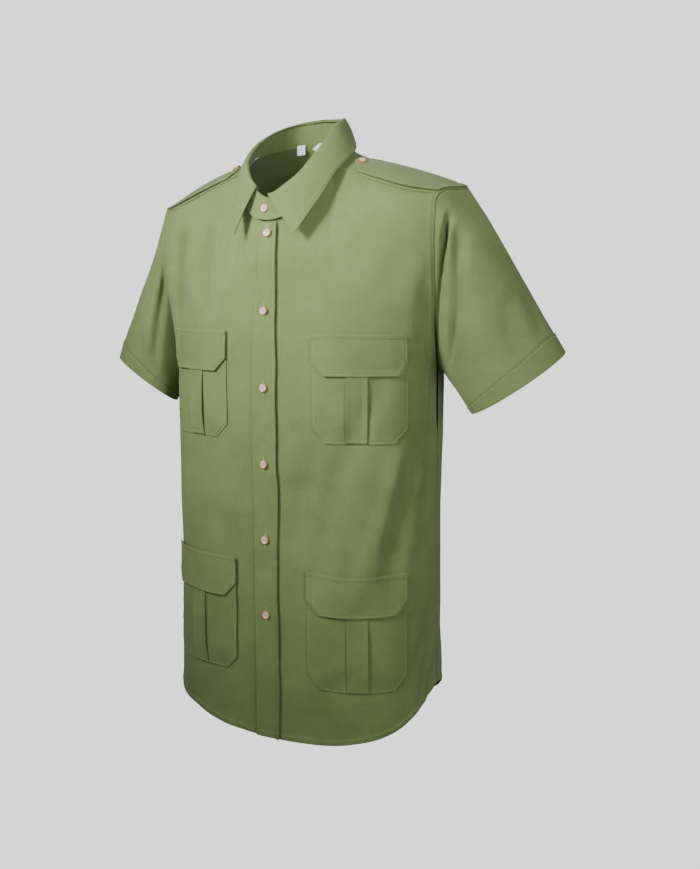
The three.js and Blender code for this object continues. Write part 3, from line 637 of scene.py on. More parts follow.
def sew(name, lines, material, length=STITCH_LENGTH, pitch=STITCH_PITCH, width=STITCH_WIDTH):
    """Rows of stitches, each along a line of points with the way out of the cloth."""
    places, frames = [], []
    for line, outward in lines:
        away = dressed(line + outward) - dressed(line)
        line = dressed(line)
        gone = np.concatenate([[0], np.cumsum(np.linalg.norm(np.diff(line, axis=0), axis=1))])
        count = max(1, int(gone[-1] / pitch))
        at = (np.arange(count) + 0.5) * gone[-1] / count
        start = np.stack([np.interp(at - length / 2, gone, line[:, k]) for k in range(3)], axis=-1)
        end = np.stack([np.interp(at + length / 2, gone, line[:, k]) for k in range(3)], axis=-1)
        out = unit(np.stack([np.interp(at, gone, away[:, k]) for k in range(3)], axis=-1))
        along = unit(end - start)
        side = unit(np.cross(along, out))
        out = unit(np.cross(side, along))
        places.append((start + end) / 2)
        frames.append(np.stack([side * width, out * width * 0.8, along * length], axis=1))
    places, frames = np.concatenate(places), np.concatenate(frames)
    points = np.einsum("pk,nkc->npc", STITCH_POINTS, frames) + places[:, None]
    step = len(STITCH_POINTS)
    faces = [[i + n * step for i in face] for n in range(len(places)) for face in STITCH_FACES]
    mesh = bpy.data.meshes.new(name)
    mesh.from_pydata((points.reshape(-1, 3) * MM).tolist(), [], faces)
    mesh.update()
    piece = bpy.data.objects.new(name, mesh)
    bpy.context.collection.objects.link(piece)
    deselect()
    piece.select_set(True)
    bpy.context.view_layer.objects.active = piece
    bpy.ops.object.shade_smooth()
    mesh.materials.append(material)
    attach(piece, "root")
    return piece


def line_on(surface, *places, lift=0.25):
    """A sewing line on a surface that takes two places and a lift."""
    on = surface(*places, lift)
    return on, surface(*places, lift + 1) - on


# Materials
def linear(hex_colour):
    """An sRGB hex colour as linear RGBA."""
    parts = [int(hex_colour[i:i + 2], 16) / 255 for i in (1, 3, 5)]
    return (*[c / 12.92 if c <= 0.04045 else ((c + 0.055) / 1.055) ** 2.4 for c in parts], 1)


def node(tree, kind, settings=(), values=(), links=()):
    """Adds a node with its settings, socket values and links."""
    made = tree.nodes.new(kind)
    for name, value in dict(settings).items():
        setattr(made, name, value)
    for socket, value in dict(values).items():
        made.inputs[socket].default_value = value
    for socket, source in dict(links).items():
        tree.links.new(source, made.inputs[socket])
    return made


def new_material(name):
    material = bpy.data.materials.new(name)
    material.use_nodes = True
    tree = material.node_tree
    return material, tree, tree.nodes["Principled BSDF"]


def noise(tree, place, scale, detail, roughness=0.5):
    settings = {"Scale": scale, "Detail": detail, "Roughness": roughness}
    return node(tree, "ShaderNodeTexNoise", {}, settings, {"Vector": place}).outputs["Fac"]


def ranged(tree, value, low=0, high=1, start=0, end=1):
    """A value moved from one range to another and kept within it."""
    limits = {"From Min": low, "From Max": high, "To Min": start, "To Max": end}
    return node(tree, "ShaderNodeMapRange", {}, limits, {"Value": value}).outputs[0]


def added(tree, first, second):
    return node(tree, "ShaderNodeMath", {"operation": "ADD"}, {}, {0: first, 1: second}).outputs[0]


def stretched(tree, place, width, length):
    """Places on the cloth, stretched so that a noise makes streaks of a width and length in millimetres."""
    scale = {"Scale": (1 / width, 1 / length, 1)}
    return node(tree, "ShaderNodeMapping", {}, scale, {"Vector": place}).outputs[0]


# Cotton: its three dye tones, the spacing of its threads and the size of a slub, in millimetres
OLIVE = "#70814f"
OLIVE_LIGHT = "#7c8c5d"
OLIVE_DARK = "#647543"
THREAD_SPACING = 0.9
SLUB_LENGTH = 9
SLUB_WIDTH = 0.55
SLUB_SHADE = 0.3
# The length after which a wave texture of scale 1 repeats
WAVE_REPEAT = 0.31


def dye(tree, shade):
    """Three dye tones along a shade from 0 to 1: dark, middle and light."""
    lower = node(tree, "ShaderNodeMix", {"data_type": "RGBA"},
                 {"A": linear(OLIVE_DARK), "B": linear(OLIVE)}, {"Factor": ranged(tree, shade, high=0.5)})
    upper = node(tree, "ShaderNodeMix", {"data_type": "RGBA"}, {"B": linear(OLIVE_LIGHT)},
                 {"Factor": ranged(tree, shade, low=0.5), "A": lower.outputs["Result"]})
    return upper.outputs["Result"]


def cotton_material():
    """Plain-woven washed cotton: dull, with a faint nap, slubs along both threads and a soft cloudy dye."""
    material, tree, shader = new_material("washed olive cotton")
    thread = node(tree, "ShaderNodeUVMap", {"uv_map": "UVMap"}).outputs["UV"]
    place = node(tree, "ShaderNodeTexCoord").outputs["Object"]
    warp_slub = noise(tree, stretched(tree, thread, SLUB_WIDTH, SLUB_LENGTH), 1, 2)
    weft_slub = noise(tree, stretched(tree, thread, SLUB_LENGTH, SLUB_WIDTH), 1, 2)
    slub = added(tree, warp_slub, weft_slub)
    cloud = ranged(tree, noise(tree, place, 16, 8, 0.72), 0.3, 0.7, 0.15, 0.85)
    blend = node(tree, "ShaderNodeMath", {"operation": "MULTIPLY_ADD"}, {1: SLUB_SHADE},
                 {0: ranged(tree, slub, 0.72, 1.28), 2: cloud})
    shade = ranged(tree, blend.outputs[0], 0.15, 1.3)
    tree.links.new(dye(tree, shade), shader.inputs["Base Color"])
    waves = [
        node(tree, "ShaderNodeTexWave", {"bands_direction": direction},
             {"Scale": 1 / THREAD_SPACING * WAVE_REPEAT, "Distortion": 1.2, "Detail": 1, "Detail Scale": 0.6},
             {"Vector": thread}).outputs["Fac"]
        for direction in ("X", "Y")
    ]
    weave = added(tree, added(tree, *waves), slub)
    # Wear leaves the cloth softly rumpled under its weave
    rumple = node(tree, "ShaderNodeBump", {}, {"Strength": 0.3, "Distance": 0.003},
                  {"Height": noise(tree, place, 42, 5, 0.6)})
    bump = node(tree, "ShaderNodeBump", {}, {"Strength": 0.12, "Distance": 0.0004},
                {"Height": weave, "Normal": rumple.outputs[0]})
    tree.links.new(bump.outputs[0], shader.inputs["Normal"])
    shader.inputs["Roughness"].default_value = 0.88
    shader.inputs["Specular IOR Level"].default_value = 0.25
    shader.inputs["Sheen Weight"].default_value = 0.12
    shader.inputs["Sheen Roughness"].default_value = 0.5
    return material


def thread_material(name, light, dark):
    """Spun polyester sewing thread: a little brighter and greener than the cloth, with a low lustre."""
    material, tree, shader = new_material(name)
    place = node(tree, "ShaderNodeTexCoord").outputs["Object"]
    twist = noise(tree, place, 900, 1)
    colour = node(tree, "ShaderNodeMix", {"data_type": "RGBA"},
                  {"A": linear(dark), "B": linear(light)}, {"Factor": twist})
    tree.links.new(colour.outputs["Result"], shader.inputs["Base Color"])
    shader.inputs["Roughness"].default_value = 0.6
    return material


def button_material():
    """Mother-of-pearl button: milky and glossy in the middle, with a mottled brown shell rim."""
    material, tree, shader = new_material("mother of pearl with a brown rim")
    local = node(tree, "ShaderNodeUVMap", {"uv_map": "UVMap"}).outputs["UV"]
    place = node(tree, "ShaderNodeTexCoord").outputs["Object"]
    radius = node(tree, "ShaderNodeVectorMath", {"operation": "LENGTH"}, {}, {0: local})
    blotch = noise(tree, place, 260, 2)
    ragged = node(tree, "ShaderNodeMath", {"operation": "MULTIPLY_ADD"}, {1: 0.9},
                  {0: blotch, 2: radius.outputs["Value"]})
    rim = node(tree, "ShaderNodeMapRange", {"interpolation_type": "SMOOTHSTEP"},
               {"From Min": 1.05, "From Max": 1.28}, {"Value": ragged.outputs[0]})
    milky = node(tree, "ShaderNodeMix", {"data_type": "RGBA"},
                 {"A": linear("#f4efe6"), "B": linear("#ddcfbd")}, {"Factor": blotch})
    brown = node(tree, "ShaderNodeMix", {"data_type": "RGBA"},
                 {"A": linear("#7c4a28"), "B": linear("#cf9560")}, {"Factor": blotch})
    colour = node(tree, "ShaderNodeMix", {"data_type": "RGBA"}, {},
                  {"Factor": rim.outputs[0], "A": milky.outputs["Result"], "B": brown.outputs["Result"]})
    tree.links.new(colour.outputs["Result"], shader.inputs["Base Color"])
    shader.inputs["Roughness"].default_value = 0.28
    shader.inputs["Coat Weight"].default_value = 0.4
    return material


def tape_material():
    """Woven polyester label tape: bright white satin with a fine cross rib."""
    material, tree, shader = new_material("white woven label tape")
    thread = node(tree, "ShaderNodeUVMap", {"uv_map": "UVMap"}).outputs["UV"]
    rib = node(tree, "ShaderNodeTexWave", {"bands_direction": "Y"}, {"Scale": 0.5}, {"Vector": thread})
    colour = node(tree, "ShaderNodeMix", {"data_type": "RGBA"},
                  {"A": linear("#dfe4ee"), "B": linear("#f6f7fa")}, {"Factor": rib.outputs["Fac"]})
    tree.links.new(colour.outputs["Result"], shader.inputs["Base Color"])
    bump = node(tree, "ShaderNodeBump", {}, {"Strength": 0.2, "Distance": 0.0002},
                {"Height": rib.outputs["Fac"]})
    tree.links.new(bump.outputs[0], shader.inputs["Normal"])
    shader.inputs["Roughness"].default_value = 0.45
    return material


cotton = cotton_material()
sewing = thread_material("green sewing thread", "#98bd7a", "#6f9454")
holes = thread_material("pale green buttonhole thread", "#9cc07e", "#7a9f5f")
pearl = button_material()
tape = tape_material()


# Body panels
FRONT_COLUMNS = 112
BACK_COLUMNS = 150
HEM_STEPS = (0, 0.8, 2, 3.5, 5, 6.2, 7, 7.8, 9, 11, 14)
BODY_MM = 450
LEVELS = np.concatenate([
    np.array(HEM_STEPS) / BODY_MM - 1,
    np.linspace(18, BODY_MM, 104) / BODY_MM - 1,
    np.linspace(0, 1, 62)[1:],
])


def add_fronts():
    level = LEVELS[:, None]
    left = np.linspace(round_at(-12), 0.9985, FRONT_COLUMNS)[None]
    right = np.linspace(-0.9985, round_at(LAP), FRONT_COLUMNS)[None]
    under = -(LAYER + CLOTH) * smooth((right + 0.2) / 0.09)
    # Above the yoke seam the fronts run a little way under the yoke
    tuck = 0.012 * smooth((np.abs(left) - 0.37) / 0.05)
    tuck_right = 0.012 * smooth((np.abs(right) - 0.37) / 0.05)
    left_level = np.where(level >= 1, level + tuck, level + 0 * left)
    right_level = np.where(level >= 1, level + tuck_right, level + 0 * right)
    front_left = lay_cloth("front_left_cloth", cloth("front", left, left_level), CLOTH, cotton)
    front_right = lay_cloth("front_right_cloth", cloth("front", right, right_level, under), CLOTH, cotton)
    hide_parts("front_left")
    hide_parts("front_right")


def add_back():
    rounds = np.linspace(0.9985, -0.9985, BACK_COLUMNS)[None]
    points = cloth("back", rounds, LEVELS[:, None])
    back = lay_cloth("back_cloth", points, CLOTH, cotton)
    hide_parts("back")


def yoke_relief(out, along):
    """The yoke's turned edges stand up a little along its seams, with gathers beside them."""
    from_front = along * YOKE_LENGTH
    from_arm = (1 - out) * np.where(along < YOKE_CORNER, YOKE_WIDTH, FAR_AWAY)
    from_back = np.where(along > YOKE_CORNER, (1 - out) * YOKE_BACK_DEPTH, FAR_AWAY)
    strip = np.maximum(1 - smooth((from_front - 6) / 2), 1 - smooth((from_arm - 8.5) / 2.5))
    strip = np.maximum(strip, 1 - smooth((from_back - 6) / 2))
    aside = out * 140
    relief = 0.95 * strip + 0.5 * unevenness(from_front, aside, 7.0)
    relief = relief + pucker(aside, from_front - 4, reach=6, height=0.14, seed=5.0)
    return relief + pucker(from_front, from_back - 4, reach=6, height=0.14, seed=6.0)


def on_yoke(out, along, lift=0.0):
    """A point on the wearer's left half of the yoke cloth."""
    out, along = np.broadcast_arrays(np.asarray(out, float), np.asarray(along, float))
    inside_out = np.clip(out, 0.02, 0.98)
    inside_along = np.clip(along, 0.012, 0.988)
    normal = facing(yoke_point, inside_out, inside_along)
    out_by = lift + yoke_relief(out, along)
    return yoke_point(out, along) + normal * np.asarray(out_by)[..., None]


def add_yoke():
    outs = np.concatenate([np.linspace(0, 0.9, 40), np.linspace(0.912, 1, 10)])
    half = np.concatenate([np.linspace(0, 0.03, 6), np.linspace(0.04, 1, 78)])
    left = on_yoke(outs[None], half[:, None])
    points = np.concatenate([left, flip(left[::-1][1:])])
    yoke = lay_cloth("yoke_cloth", points, CLOTH, cotton)
    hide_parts("yoke")


# Sleeves
def sleeve_base(sleeve, along, turn, lift=0.0):
    along, turn, lift = np.broadcast_arrays(*(np.asarray(v, float) for v in (along, turn, lift)))
    radians = np.radians(turn)
    top, front = np.array(sleeve["top"], float), np.array(sleeve["front"], float)
    reach = top + unit(top) * lift[..., None]
    ahead = front + unit(front) * lift[..., None]
    middle = np.array(sleeve["middle"], float)
    opening = middle + reach * np.cos(radians)[..., None] + ahead * np.sin(radians)[..., None]
    start = read_point(ARMHOLE, turn % 360)
    fullness = np.sin(math.pi * along) * SLEEVE_FULLNESS * np.sin(radians) ** 2 * np.sign(np.sin(radians))
    return mix(start, opening, along) - vec(0, fullness, 0)


def on_sleeve(name, along, turn, lift=0.0):
    """A point on a sleeve's cloth, in the wearer's left frame."""
    sleeve = SLEEVES[name]
    along, turn = np.broadcast_arrays(np.asarray(along, float), np.asarray(turn, float))
    inside = np.clip(along, 0.02, 0.98)
    normal = -facing(lambda a, t: sleeve_base(sleeve, a, t * 100), inside, turn / 100)
    rows = SLEEVE_CREASES[name]
    down = along * SLEEVE_LENGTH
    depth = sum(crease_depth(rows, turn + k * 360, down) for k in (-1, 0, 1))
    calm = smooth(along / 0.06) * (1 - 0.75 * smooth((along - 0.8) / 0.12))
    relief = (unevenness(turn, down, 9.0) * 0.6 - depth) * calm
    gathers = pucker(turn, down - (SLEEVE_LENGTH - CUFF_DEPTH), reach=9, height=0.22, seed=7.0)
    relief = relief + gathers * smooth(along / 0.2)
    relief = relief + pucker(turn, down, reach=8, height=0.15, seed=8.0)
    return sleeve_base(sleeve, along, turn) + normal * (relief + lift)[..., None]


def add_sleeves():
    turns = np.linspace(0, 360, 145)[None]
    for name, sleeve in SLEEVES.items():
        side = sleeve["side"]
        alongs = np.concatenate([np.linspace(0.002, 0.05, 6), np.linspace(0.065, CUFF_START + 0.03, 66)])
        alongs = alongs[:, None]
        # The tube's end steps in under the cuff
        step = -1.5 * smooth((alongs - CUFF_START + 0.01) / 0.012)
        tube = to_side(on_sleeve(name, alongs, turns, step), side)
        sleeve_piece = lay_cloth(f"sleeve_{name}_cloth", tube, CLOTH, cotton, closed=True, show=side)
        bands = np.concatenate([[CUFF_START - 0.004], np.linspace(CUFF_START, 1, 14), [1.0]])[:, None]
        # The turned-up band stands open a little at its upper edge and rolls in at its lower edge
        lifts = np.concatenate([[0.9, 0.9], np.linspace(0.9, 0.5, 12), [0.3, -0.6]])[:, None]
        cuff = to_side(on_sleeve(name, bands, turns, lifts), side)
        cuff_piece = lay_cloth(f"cuff_{name}_cloth", cuff, INTERFACED, cotton, closed=True, show=side)
        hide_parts(f"sleeve_{name}")
        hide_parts(f"cuff_{name}")


# Collar
def lap_out(turn):
    """The wearer's left end laps over the right one at the centre front."""
    return np.where(turn > 0, COLLAR_LAP * (1 - smooth(turn / 60)), 0)


def collar_out(turn):
    """The level way out from the neck."""
    fold = on_neck(FOLD, turn)
    return unit(vec(fold[..., 0], fold[..., 1] + 16, 0 * fold[..., 0]))


def stand_share(turn):
    """How much of the way from the neck seam to the fold the stand takes up."""
    gap = np.linalg.norm(on_neck(FOLD, turn) - on_neck(NECK, turn), axis=-1)
    return np.minimum(STAND_MOST, STAND_HEIGHT / gap)


def stand_point(turn, up, out):
    share = 0.018 + up * stand_share(turn)
    point = mix(on_neck(NECK, turn), on_neck(FOLD, turn), share)
    return point + collar_out(turn) * np.asarray(out)[..., None]


def add_stand():
    turns = np.linspace(STAND_UNDER_END, -360 - STAND_OVER_END, 190)
    place = np.where(turns < -180, turns + 360, turns)
    ups = np.linspace(-0.05, 1, 16)[:, None]
    to_end = np.clip(np.minimum(STAND_UNDER_END - turns, turns + 360 + STAND_OVER_END) / 7, 0, 1)
    rounded = 0.7 + 0.3 * np.sqrt(1 - (1 - to_end) ** 2)
    over = np.where(turns < -360, COLLAR_LAP, np.where(turns < -180, lap_out(place), 0))
    behind = smooth((np.abs(place) - 60) / 60)
    wrinkle = pucker(place * 1.15, (ups - 0.45) * 30, reach=16, height=0.55, seed=11.0)
    wrinkle = wrinkle * (0.25 + 0.75 * behind)
    seam = 1.1 * (1 - smooth((ups + 0.05) / 0.2))
    points = stand_point(place[None], ups * rounded[None], over[None] + wrinkle + seam)
    stand = lay_cloth("collar_stand_cloth", points, INTERFACED, cotton)
    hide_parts("collar_stand")


def leaf_profile(side, share, count=40):
    """Lines down the leaf: up inside from the stand, over the fold and down to its outer edge."""
    start = 1 if side > 0 else RIGHT_LEAF_START
    turn = lerp(start, 180, share) * side
    lap = lap_out(turn) if side > 0 else 0 * turn
    out = collar_out(turn)
    stand = stand_point(turn, 1.03, lap) + np.array([0, 0, 0.6])
    fold = on_neck(FOLD, turn) + out * lap[..., None]
    edge = beside_neck(LEAF_EDGE, 180 * share, np.full(np.shape(share), side < 0)) + out * lap[..., None]
    over = fold + out * FOLD_WIDTH
    crown = (fold + over) / 2 + np.array([0, 0, CROWN_RISE])
    falls = [mix(over, edge, np.full_like(turn, t)) + out * 10 * t * (1 - t) for t in (0.25, 0.5, 0.76)]
    knots = np.stack([stand, mix(stand, fold, np.full_like(turn, 0.55)), fold, crown, over, *falls, edge])
    profile = through(knots, count)
    across = np.linspace(0, 1, count)[:, None]
    from_edge = (1 - across) * LEAF_DEPTH
    from_front = share[None] * LEAF_LENGTH
    strip = np.maximum(1 - smooth((from_edge - 5) / 2), 1 - smooth((from_front - 5) / 2)) * (across > 0.45)
    relief = 0.5 * strip + 0.35 * unevenness(from_front, across * 90, 12.0) * (across > 0.4)
    relief = relief + pucker(from_front, from_edge - 5, reach=5, height=0.12, seed=12.0)
    return profile + out[None] * relief[..., None]


def on_leaf(side, share, across):
    """Point of the leaf's outer face, with the way out of it."""
    profile = leaf_profile(side, np.atleast_1d(share))
    at = np.clip(np.broadcast_to(across, np.shape(share)) * (len(profile) - 1), 0, len(profile) - 1)
    i = np.minimum(at.astype(int), len(profile) - 2)
    column = np.arange(profile.shape[1])
    point = mix(profile[i, column], profile[i + 1, column], at - i)
    down = unit(profile[i + 1, column] - profile[i, column])
    along = np.gradient(point, axis=0)
    outward = unit(np.cross(down, along)) * (-1 if side > 0 else 1)
    away = collar_out(lerp(1, 180, np.atleast_1d(share)) * side)
    facing_out = np.sum(outward * away, axis=-1, keepdims=True)
    outward = outward * np.where(facing_out < 0, -1, 1)
    return point + outward * 0.15, outward


def add_leaf():
    shares = np.concatenate([np.linspace(0, 0.03, 5), np.linspace(0.04, 1, 92)])
    left = leaf_profile(1, shares).transpose(1, 0, 2)
    right = leaf_profile(-1, shares).transpose(1, 0, 2)[::-1][1:]
    leaf = lay_cloth("collar_leaf_cloth", np.concatenate([left, right]), CLOTH + 0.3, cotton)
    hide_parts("collar_leaf")


# Placket, pockets and epaulettes
def placket_lift(distance):
    """The box placket rolls down on its sewn left edge and stands as a fold at the right."""
    edge = distance + PLACKET_HALF
    rolled = -1.7 * (1 - smooth(edge / 4)) + LAYER
    stands = 2.9 * smooth((distance - 11) / 7.5)
    return rolled + stands


def placket_gathers(distance, z):
    """Both rows of stitches draw the placket up, and it ripples between them."""
    gathers = pucker(z, np.abs(distance) - 15, reach=6, height=0.5, seed=13.0)
    return gathers + 0.25 * unevenness(distance * 2, z, 14.0)


def on_placket(distance, z, lift=0.0):
    distance, z = np.broadcast_arrays(np.asarray(distance, float), np.asarray(z, float))
    return on_front(distance, z, placket_lift(distance) + placket_gathers(distance, z) + lift)


def add_placket():
    across = np.concatenate([
        np.linspace(-PLACKET_HALF, -14, 7), np.linspace(-12, 10, 9), np.linspace(11.5, PLACKET_HALF, 8),
    ])[None]
    levels = np.concatenate([LEVELS[LEVELS < 0.97], [0.975]])[:, None]
    levels = np.maximum(levels, -0.998)
    z = body_point("front", round_at(across), levels)[..., 2]
    # The free fold wanders a little from side to side on its way down
    wander = 0.5 * np.sin(z / 37) + 0.35 * np.sin(z / 13.7 + 1)
    shifted = across + wander * smooth((across - 6) / 10)
    points = cloth("front", round_at(shifted), levels, placket_lift(across) + placket_gathers(across, z))
    band = lay_cloth("placket_cloth", points, CLOTH, cotton)
    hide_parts("placket_band")


def pocket_edges(pocket, z, base, overhang=0.0):
    """Near and far edges of a pocket or flap at a height, with its clipped lower corners."""
    cut = np.maximum(0, POCKET_CHAMFER - (z - base))
    return pocket["inner"] - overhang + cut, pocket["inner"] + pocket["width"] + overhang - cut


def pleat_middle(pocket):
    return pocket["inner"] + pocket["width"] / 2 + pocket["pleat"]


def pocket_relief(pocket, distance, z):
    """A patch pocket is sewn flat at its sides and foot and is a little full between them."""
    bottom = pocket["top"] - pocket["height"]
    near, far = pocket_edges(pocket, z, bottom)
    from_edge = np.minimum(np.minimum(distance - near, far - distance), z - bottom)
    full = smooth(from_edge / 30)
    seed = pocket["inner"] * 0.11 + pocket["top"] * 0.013 + pocket["side"]
    relief = LAYER - 0.55 * (1 - smooth(from_edge / 1.4)) + 2.2 * full
    relief = relief + 0.5 * unevenness(distance * 1.4, z * 1.4, seed) * full
    relief = relief + groove(from_edge - EDGE_ROW)
    gathers = pucker(z + distance, from_edge - 3, reach=5, height=0.28, seed=seed)
    return relief + gathers * smooth(from_edge / 1.5)


def on_patch(pocket, distance, z, out):
    """A point of the front under a pocket, whose sides run straight on where the front narrows."""
    spread = 1 + POCKET_SPREAD * np.maximum(0, z - UNDERARM_Z)
    share = (distance - pocket["inner"]) / pocket["width"]
    sag = pocket["tilt"] * share - pocket["dip"] * 4 * share * (1 - share)
    return on_front(distance * spread * pocket["side"], z + sag, out)


def on_pocket(pocket, distance, z, lift=0.0):
    out = pocket_relief(pocket, distance, z) + lift
    return on_patch(pocket, distance, z, out)


def flap_relief(pocket, distance, z):
    """A flap hangs from its sewn top edge and stands off at its foot."""
    foot = pocket["top"] - FLAP_HEIGHT
    down = np.clip((pocket["top"] - z) / FLAP_HEIGHT, 0, 1)
    near, far = pocket_edges(pocket, z, foot)
    from_edge = np.minimum(np.minimum(distance - near, far - distance), z - foot)
    seed = pocket["inner"] * 0.17 + pocket["top"] * 0.019 + pocket["side"] * 2
    stands = 0.5 + 1.1 * down + 0.5 * down * np.sin(distance / 17 + seed)
    strip = 0.45 * (1 - smooth((from_edge - 5) / 1.5))
    crown = 0.5 * (1 - smooth((pocket["top"] - z - 6) / 1.6))
    sewn = groove(from_edge - EDGE_ROW - 0.3) + groove(pocket["top"] - z - 7.5)
    gathers = pucker(distance + z, from_edge - 4, reach=4, height=0.28, seed=seed)
    return CLOTH + 0.25 + stands + strip + crown + sewn + gathers


def on_flap(pocket, distance, z, lift=0.0):
    under = pocket_relief(pocket, np.clip(distance, pocket["inner"], pocket["inner"] + pocket["width"]), z)
    return on_patch(pocket, distance, z, under + flap_relief(pocket, distance, z) + lift)


def on_pleat(pocket, distance, z, lift=0.0):
    """The box pleat lies on the pocket; its folds stand open, the one to the wearer's left more."""
    middle = pleat_middle(pocket)
    across = (distance - middle) / (PLEAT_WIDTH / 2) * pocket["side"]
    bottom = pocket["top"] - pocket["height"]
    height = np.clip((z - bottom) / (pocket["height"] - FLAP_HEIGHT), 0, 1)
    gape = smooth((np.abs(across) - 0.5) / 0.5) * np.where(across > 0, 2.6, 1.5)
    gape = gape * np.sin(math.pi * np.clip(height * 0.9 + 0.08, 0, 1))
    out = pocket_relief(pocket, distance, z) + CLOTH + 0.3 + gape + lift
    return on_patch(pocket, distance, z, out)


def patch_grid(pocket, base, top, columns, rows, overhang=0.0):
    """Heights and distances over a pocket or flap, closer together at its edges."""
    edge = np.array([0, 0.7, 1.6, 3, 4.6, 6])
    z = np.concatenate([base + edge, np.linspace(base + 8, top - 7, rows), top - edge[::-1]])[:, None]
    near, far = pocket_edges(pocket, z, base, overhang)
    shares = np.concatenate([edge, np.linspace(9, 91, columns), 100 - edge[::-1]])[None] / 100
    distance = lerp(near, far, shares)
    if pocket["side"] < 0:
        distance = distance[:, ::-1]
    return distance, z


def add_pockets():
    for name, pocket in POCKETS.items():
        bottom = pocket["top"] - pocket["height"]
        foot = pocket["top"] - FLAP_HEIGHT
        distance, z = patch_grid(pocket, bottom, pocket["top"] - 3, 36, 40)
        bag = lay_cloth(f"{name}_cloth", on_pocket(pocket, distance, z), CLOTH, cotton)
        distance, z = patch_grid(pocket, foot, pocket["top"], 38, 14, overhang=0.5)
        flap = lay_cloth(f"{name}_flap_cloth", on_flap(pocket, distance, z), CLOTH, cotton)
        middle = pleat_middle(pocket)
        across = np.linspace(-1, 1, 14)[None] * PLEAT_WIDTH / 2 * pocket["side"]
        heights = np.linspace(bottom + 1.5, foot + 6, 34)[:, None]
        pleat = lay_cloth(f"{name}_pleat_cloth", on_pleat(pocket, middle + across, heights), CLOTH, cotton)
        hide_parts(name)
        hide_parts(f"{name}_flap")
        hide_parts(f"{name}_pleat")


def strap_point(length_share, width_share, lift=0.0):
    """An epaulette: pointed at the neck end, sewn in at the armhole, clear of the yoke between."""
    point = 1 - np.abs(2 * width_share - 1)
    start = lerp(STRAP_SHOULDER, STRAP_POINT, point)
    along = lerp(STRAP_FRONT, STRAP_BACK, width_share)
    out = lerp(start, STRAP_END, length_share)
    from_side = np.minimum(width_share, 1 - width_share) * STRAP_WIDTH
    from_edge = np.minimum(from_side, length_share * STRAP_LENGTH)
    stands = 1.8 + 1.6 * np.sin(math.pi * length_share) * (0.55 + 0.45 * np.cos(math.pi * width_share))
    strip = 0.5 * (1 - smooth((from_edge - 5) / 1.6))
    relief = stands + strip + 0.3 * unevenness(length_share * 150, width_share * STRAP_WIDTH, 15.0)
    relief = relief + pucker(length_share * STRAP_LENGTH, from_edge - 4, reach=4, height=0.14, seed=15.0)
    return on_yoke(out, along, relief + lift)


def add_epaulettes():
    edge = np.array([0, 0.015, 0.04, 0.07])
    widths = np.concatenate([edge, np.linspace(0.11, 0.89, 20), 1 - edge[::-1]])[:, None]
    lengths = np.concatenate([[0, 0.006, 0.015, 0.03], np.linspace(0.05, 1, 60)])[None]
    for name, side in (("left", 1), ("right", -1)):
        points = to_side(strap_point(lengths, widths), side)
        strap = lay_cloth(f"epaulette_{name}_cloth", points, CLOTH + 0.3, cotton, show=side)
        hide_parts(f"epaulette_{name}")


add_fronts()
add_back()
add_yoke()
add_sleeves()
add_stand()
add_leaf()
add_placket()
add_pockets()
add_epaulettes()


# Buttons
def make_button():
    """A four-hole button: a turned disc with a raised rim, drilled."""
    deselect()
    bpy.ops.mesh.primitive_cylinder_add(vertices=40, radius=BUTTON_RADIUS * MM, depth=BUTTON_THICK * MM,
                                        location=(0, 0, BUTTON_THICK / 2 * MM))
    disc = bpy.context.object
    disc.name = "button_form"
    bpy.ops.object.transform_apply(location=True, rotation=False, scale=False)
    select_faces(disc, lambda face: face.normal.z > 0.9)
    bpy.ops.object.mode_set(mode="EDIT")
    bpy.ops.mesh.inset(thickness=1.5 * MM, depth=0)
    bpy.ops.mesh.inset(thickness=0.6 * MM, depth=-0.6 * MM)
    bpy.ops.object.mode_set(mode="OBJECT")
    soften = disc.modifiers.new("edge", "BEVEL")
    soften.width = 0.55 * MM
    soften.segments = 3
    soften.limit_method = "ANGLE"
    bpy.ops.object.modifier_apply(modifier=soften.name)
    for x in (-1, 1):
        for y in (-1, 1):
            deselect()
            place = np.array([x * HOLE_PLACE, y * HOLE_PLACE, BUTTON_THICK / 2]) * MM
            bpy.ops.mesh.primitive_cylinder_add(vertices=14, radius=0.75 * MM, depth=8 * MM, location=place)
            drill = bpy.context.object
            deselect()
            disc.select_set(True)
            bpy.context.view_layer.objects.active = disc
            hole = disc.modifiers.new("hole", "BOOLEAN")
            hole.operation = "DIFFERENCE"
            hole.object = drill
            bpy.ops.object.modifier_apply(modifier=hole.name)
            bpy.data.objects.remove(drill)
    bpy.ops.object.shade_smooth_by_angle(angle=math.radians(35))
    mesh = disc.data
    if not mesh.uv_layers:
        mesh.uv_layers.new(name="UVMap")
    mesh.uv_layers[0].name = "UVMap"
    flat = np.array([v.co[:2] for v in mesh.vertices]) / (BUTTON_RADIUS * MM)
    corners = np.empty(len(mesh.loops), int)
    mesh.loops.foreach_get("vertex_index", corners)
    mesh.uv_layers[0].data.foreach_set("uv", flat[corners].ravel())
    return disc


def select_faces(piece, wanted):
    """Selects only the faces that answer a test."""
    for group in (piece.data.vertices, piece.data.edges, piece.data.polygons):
        group.foreach_set("select", [False] * len(group))
    for face in piece.data.polygons:
        face.select = wanted(face)


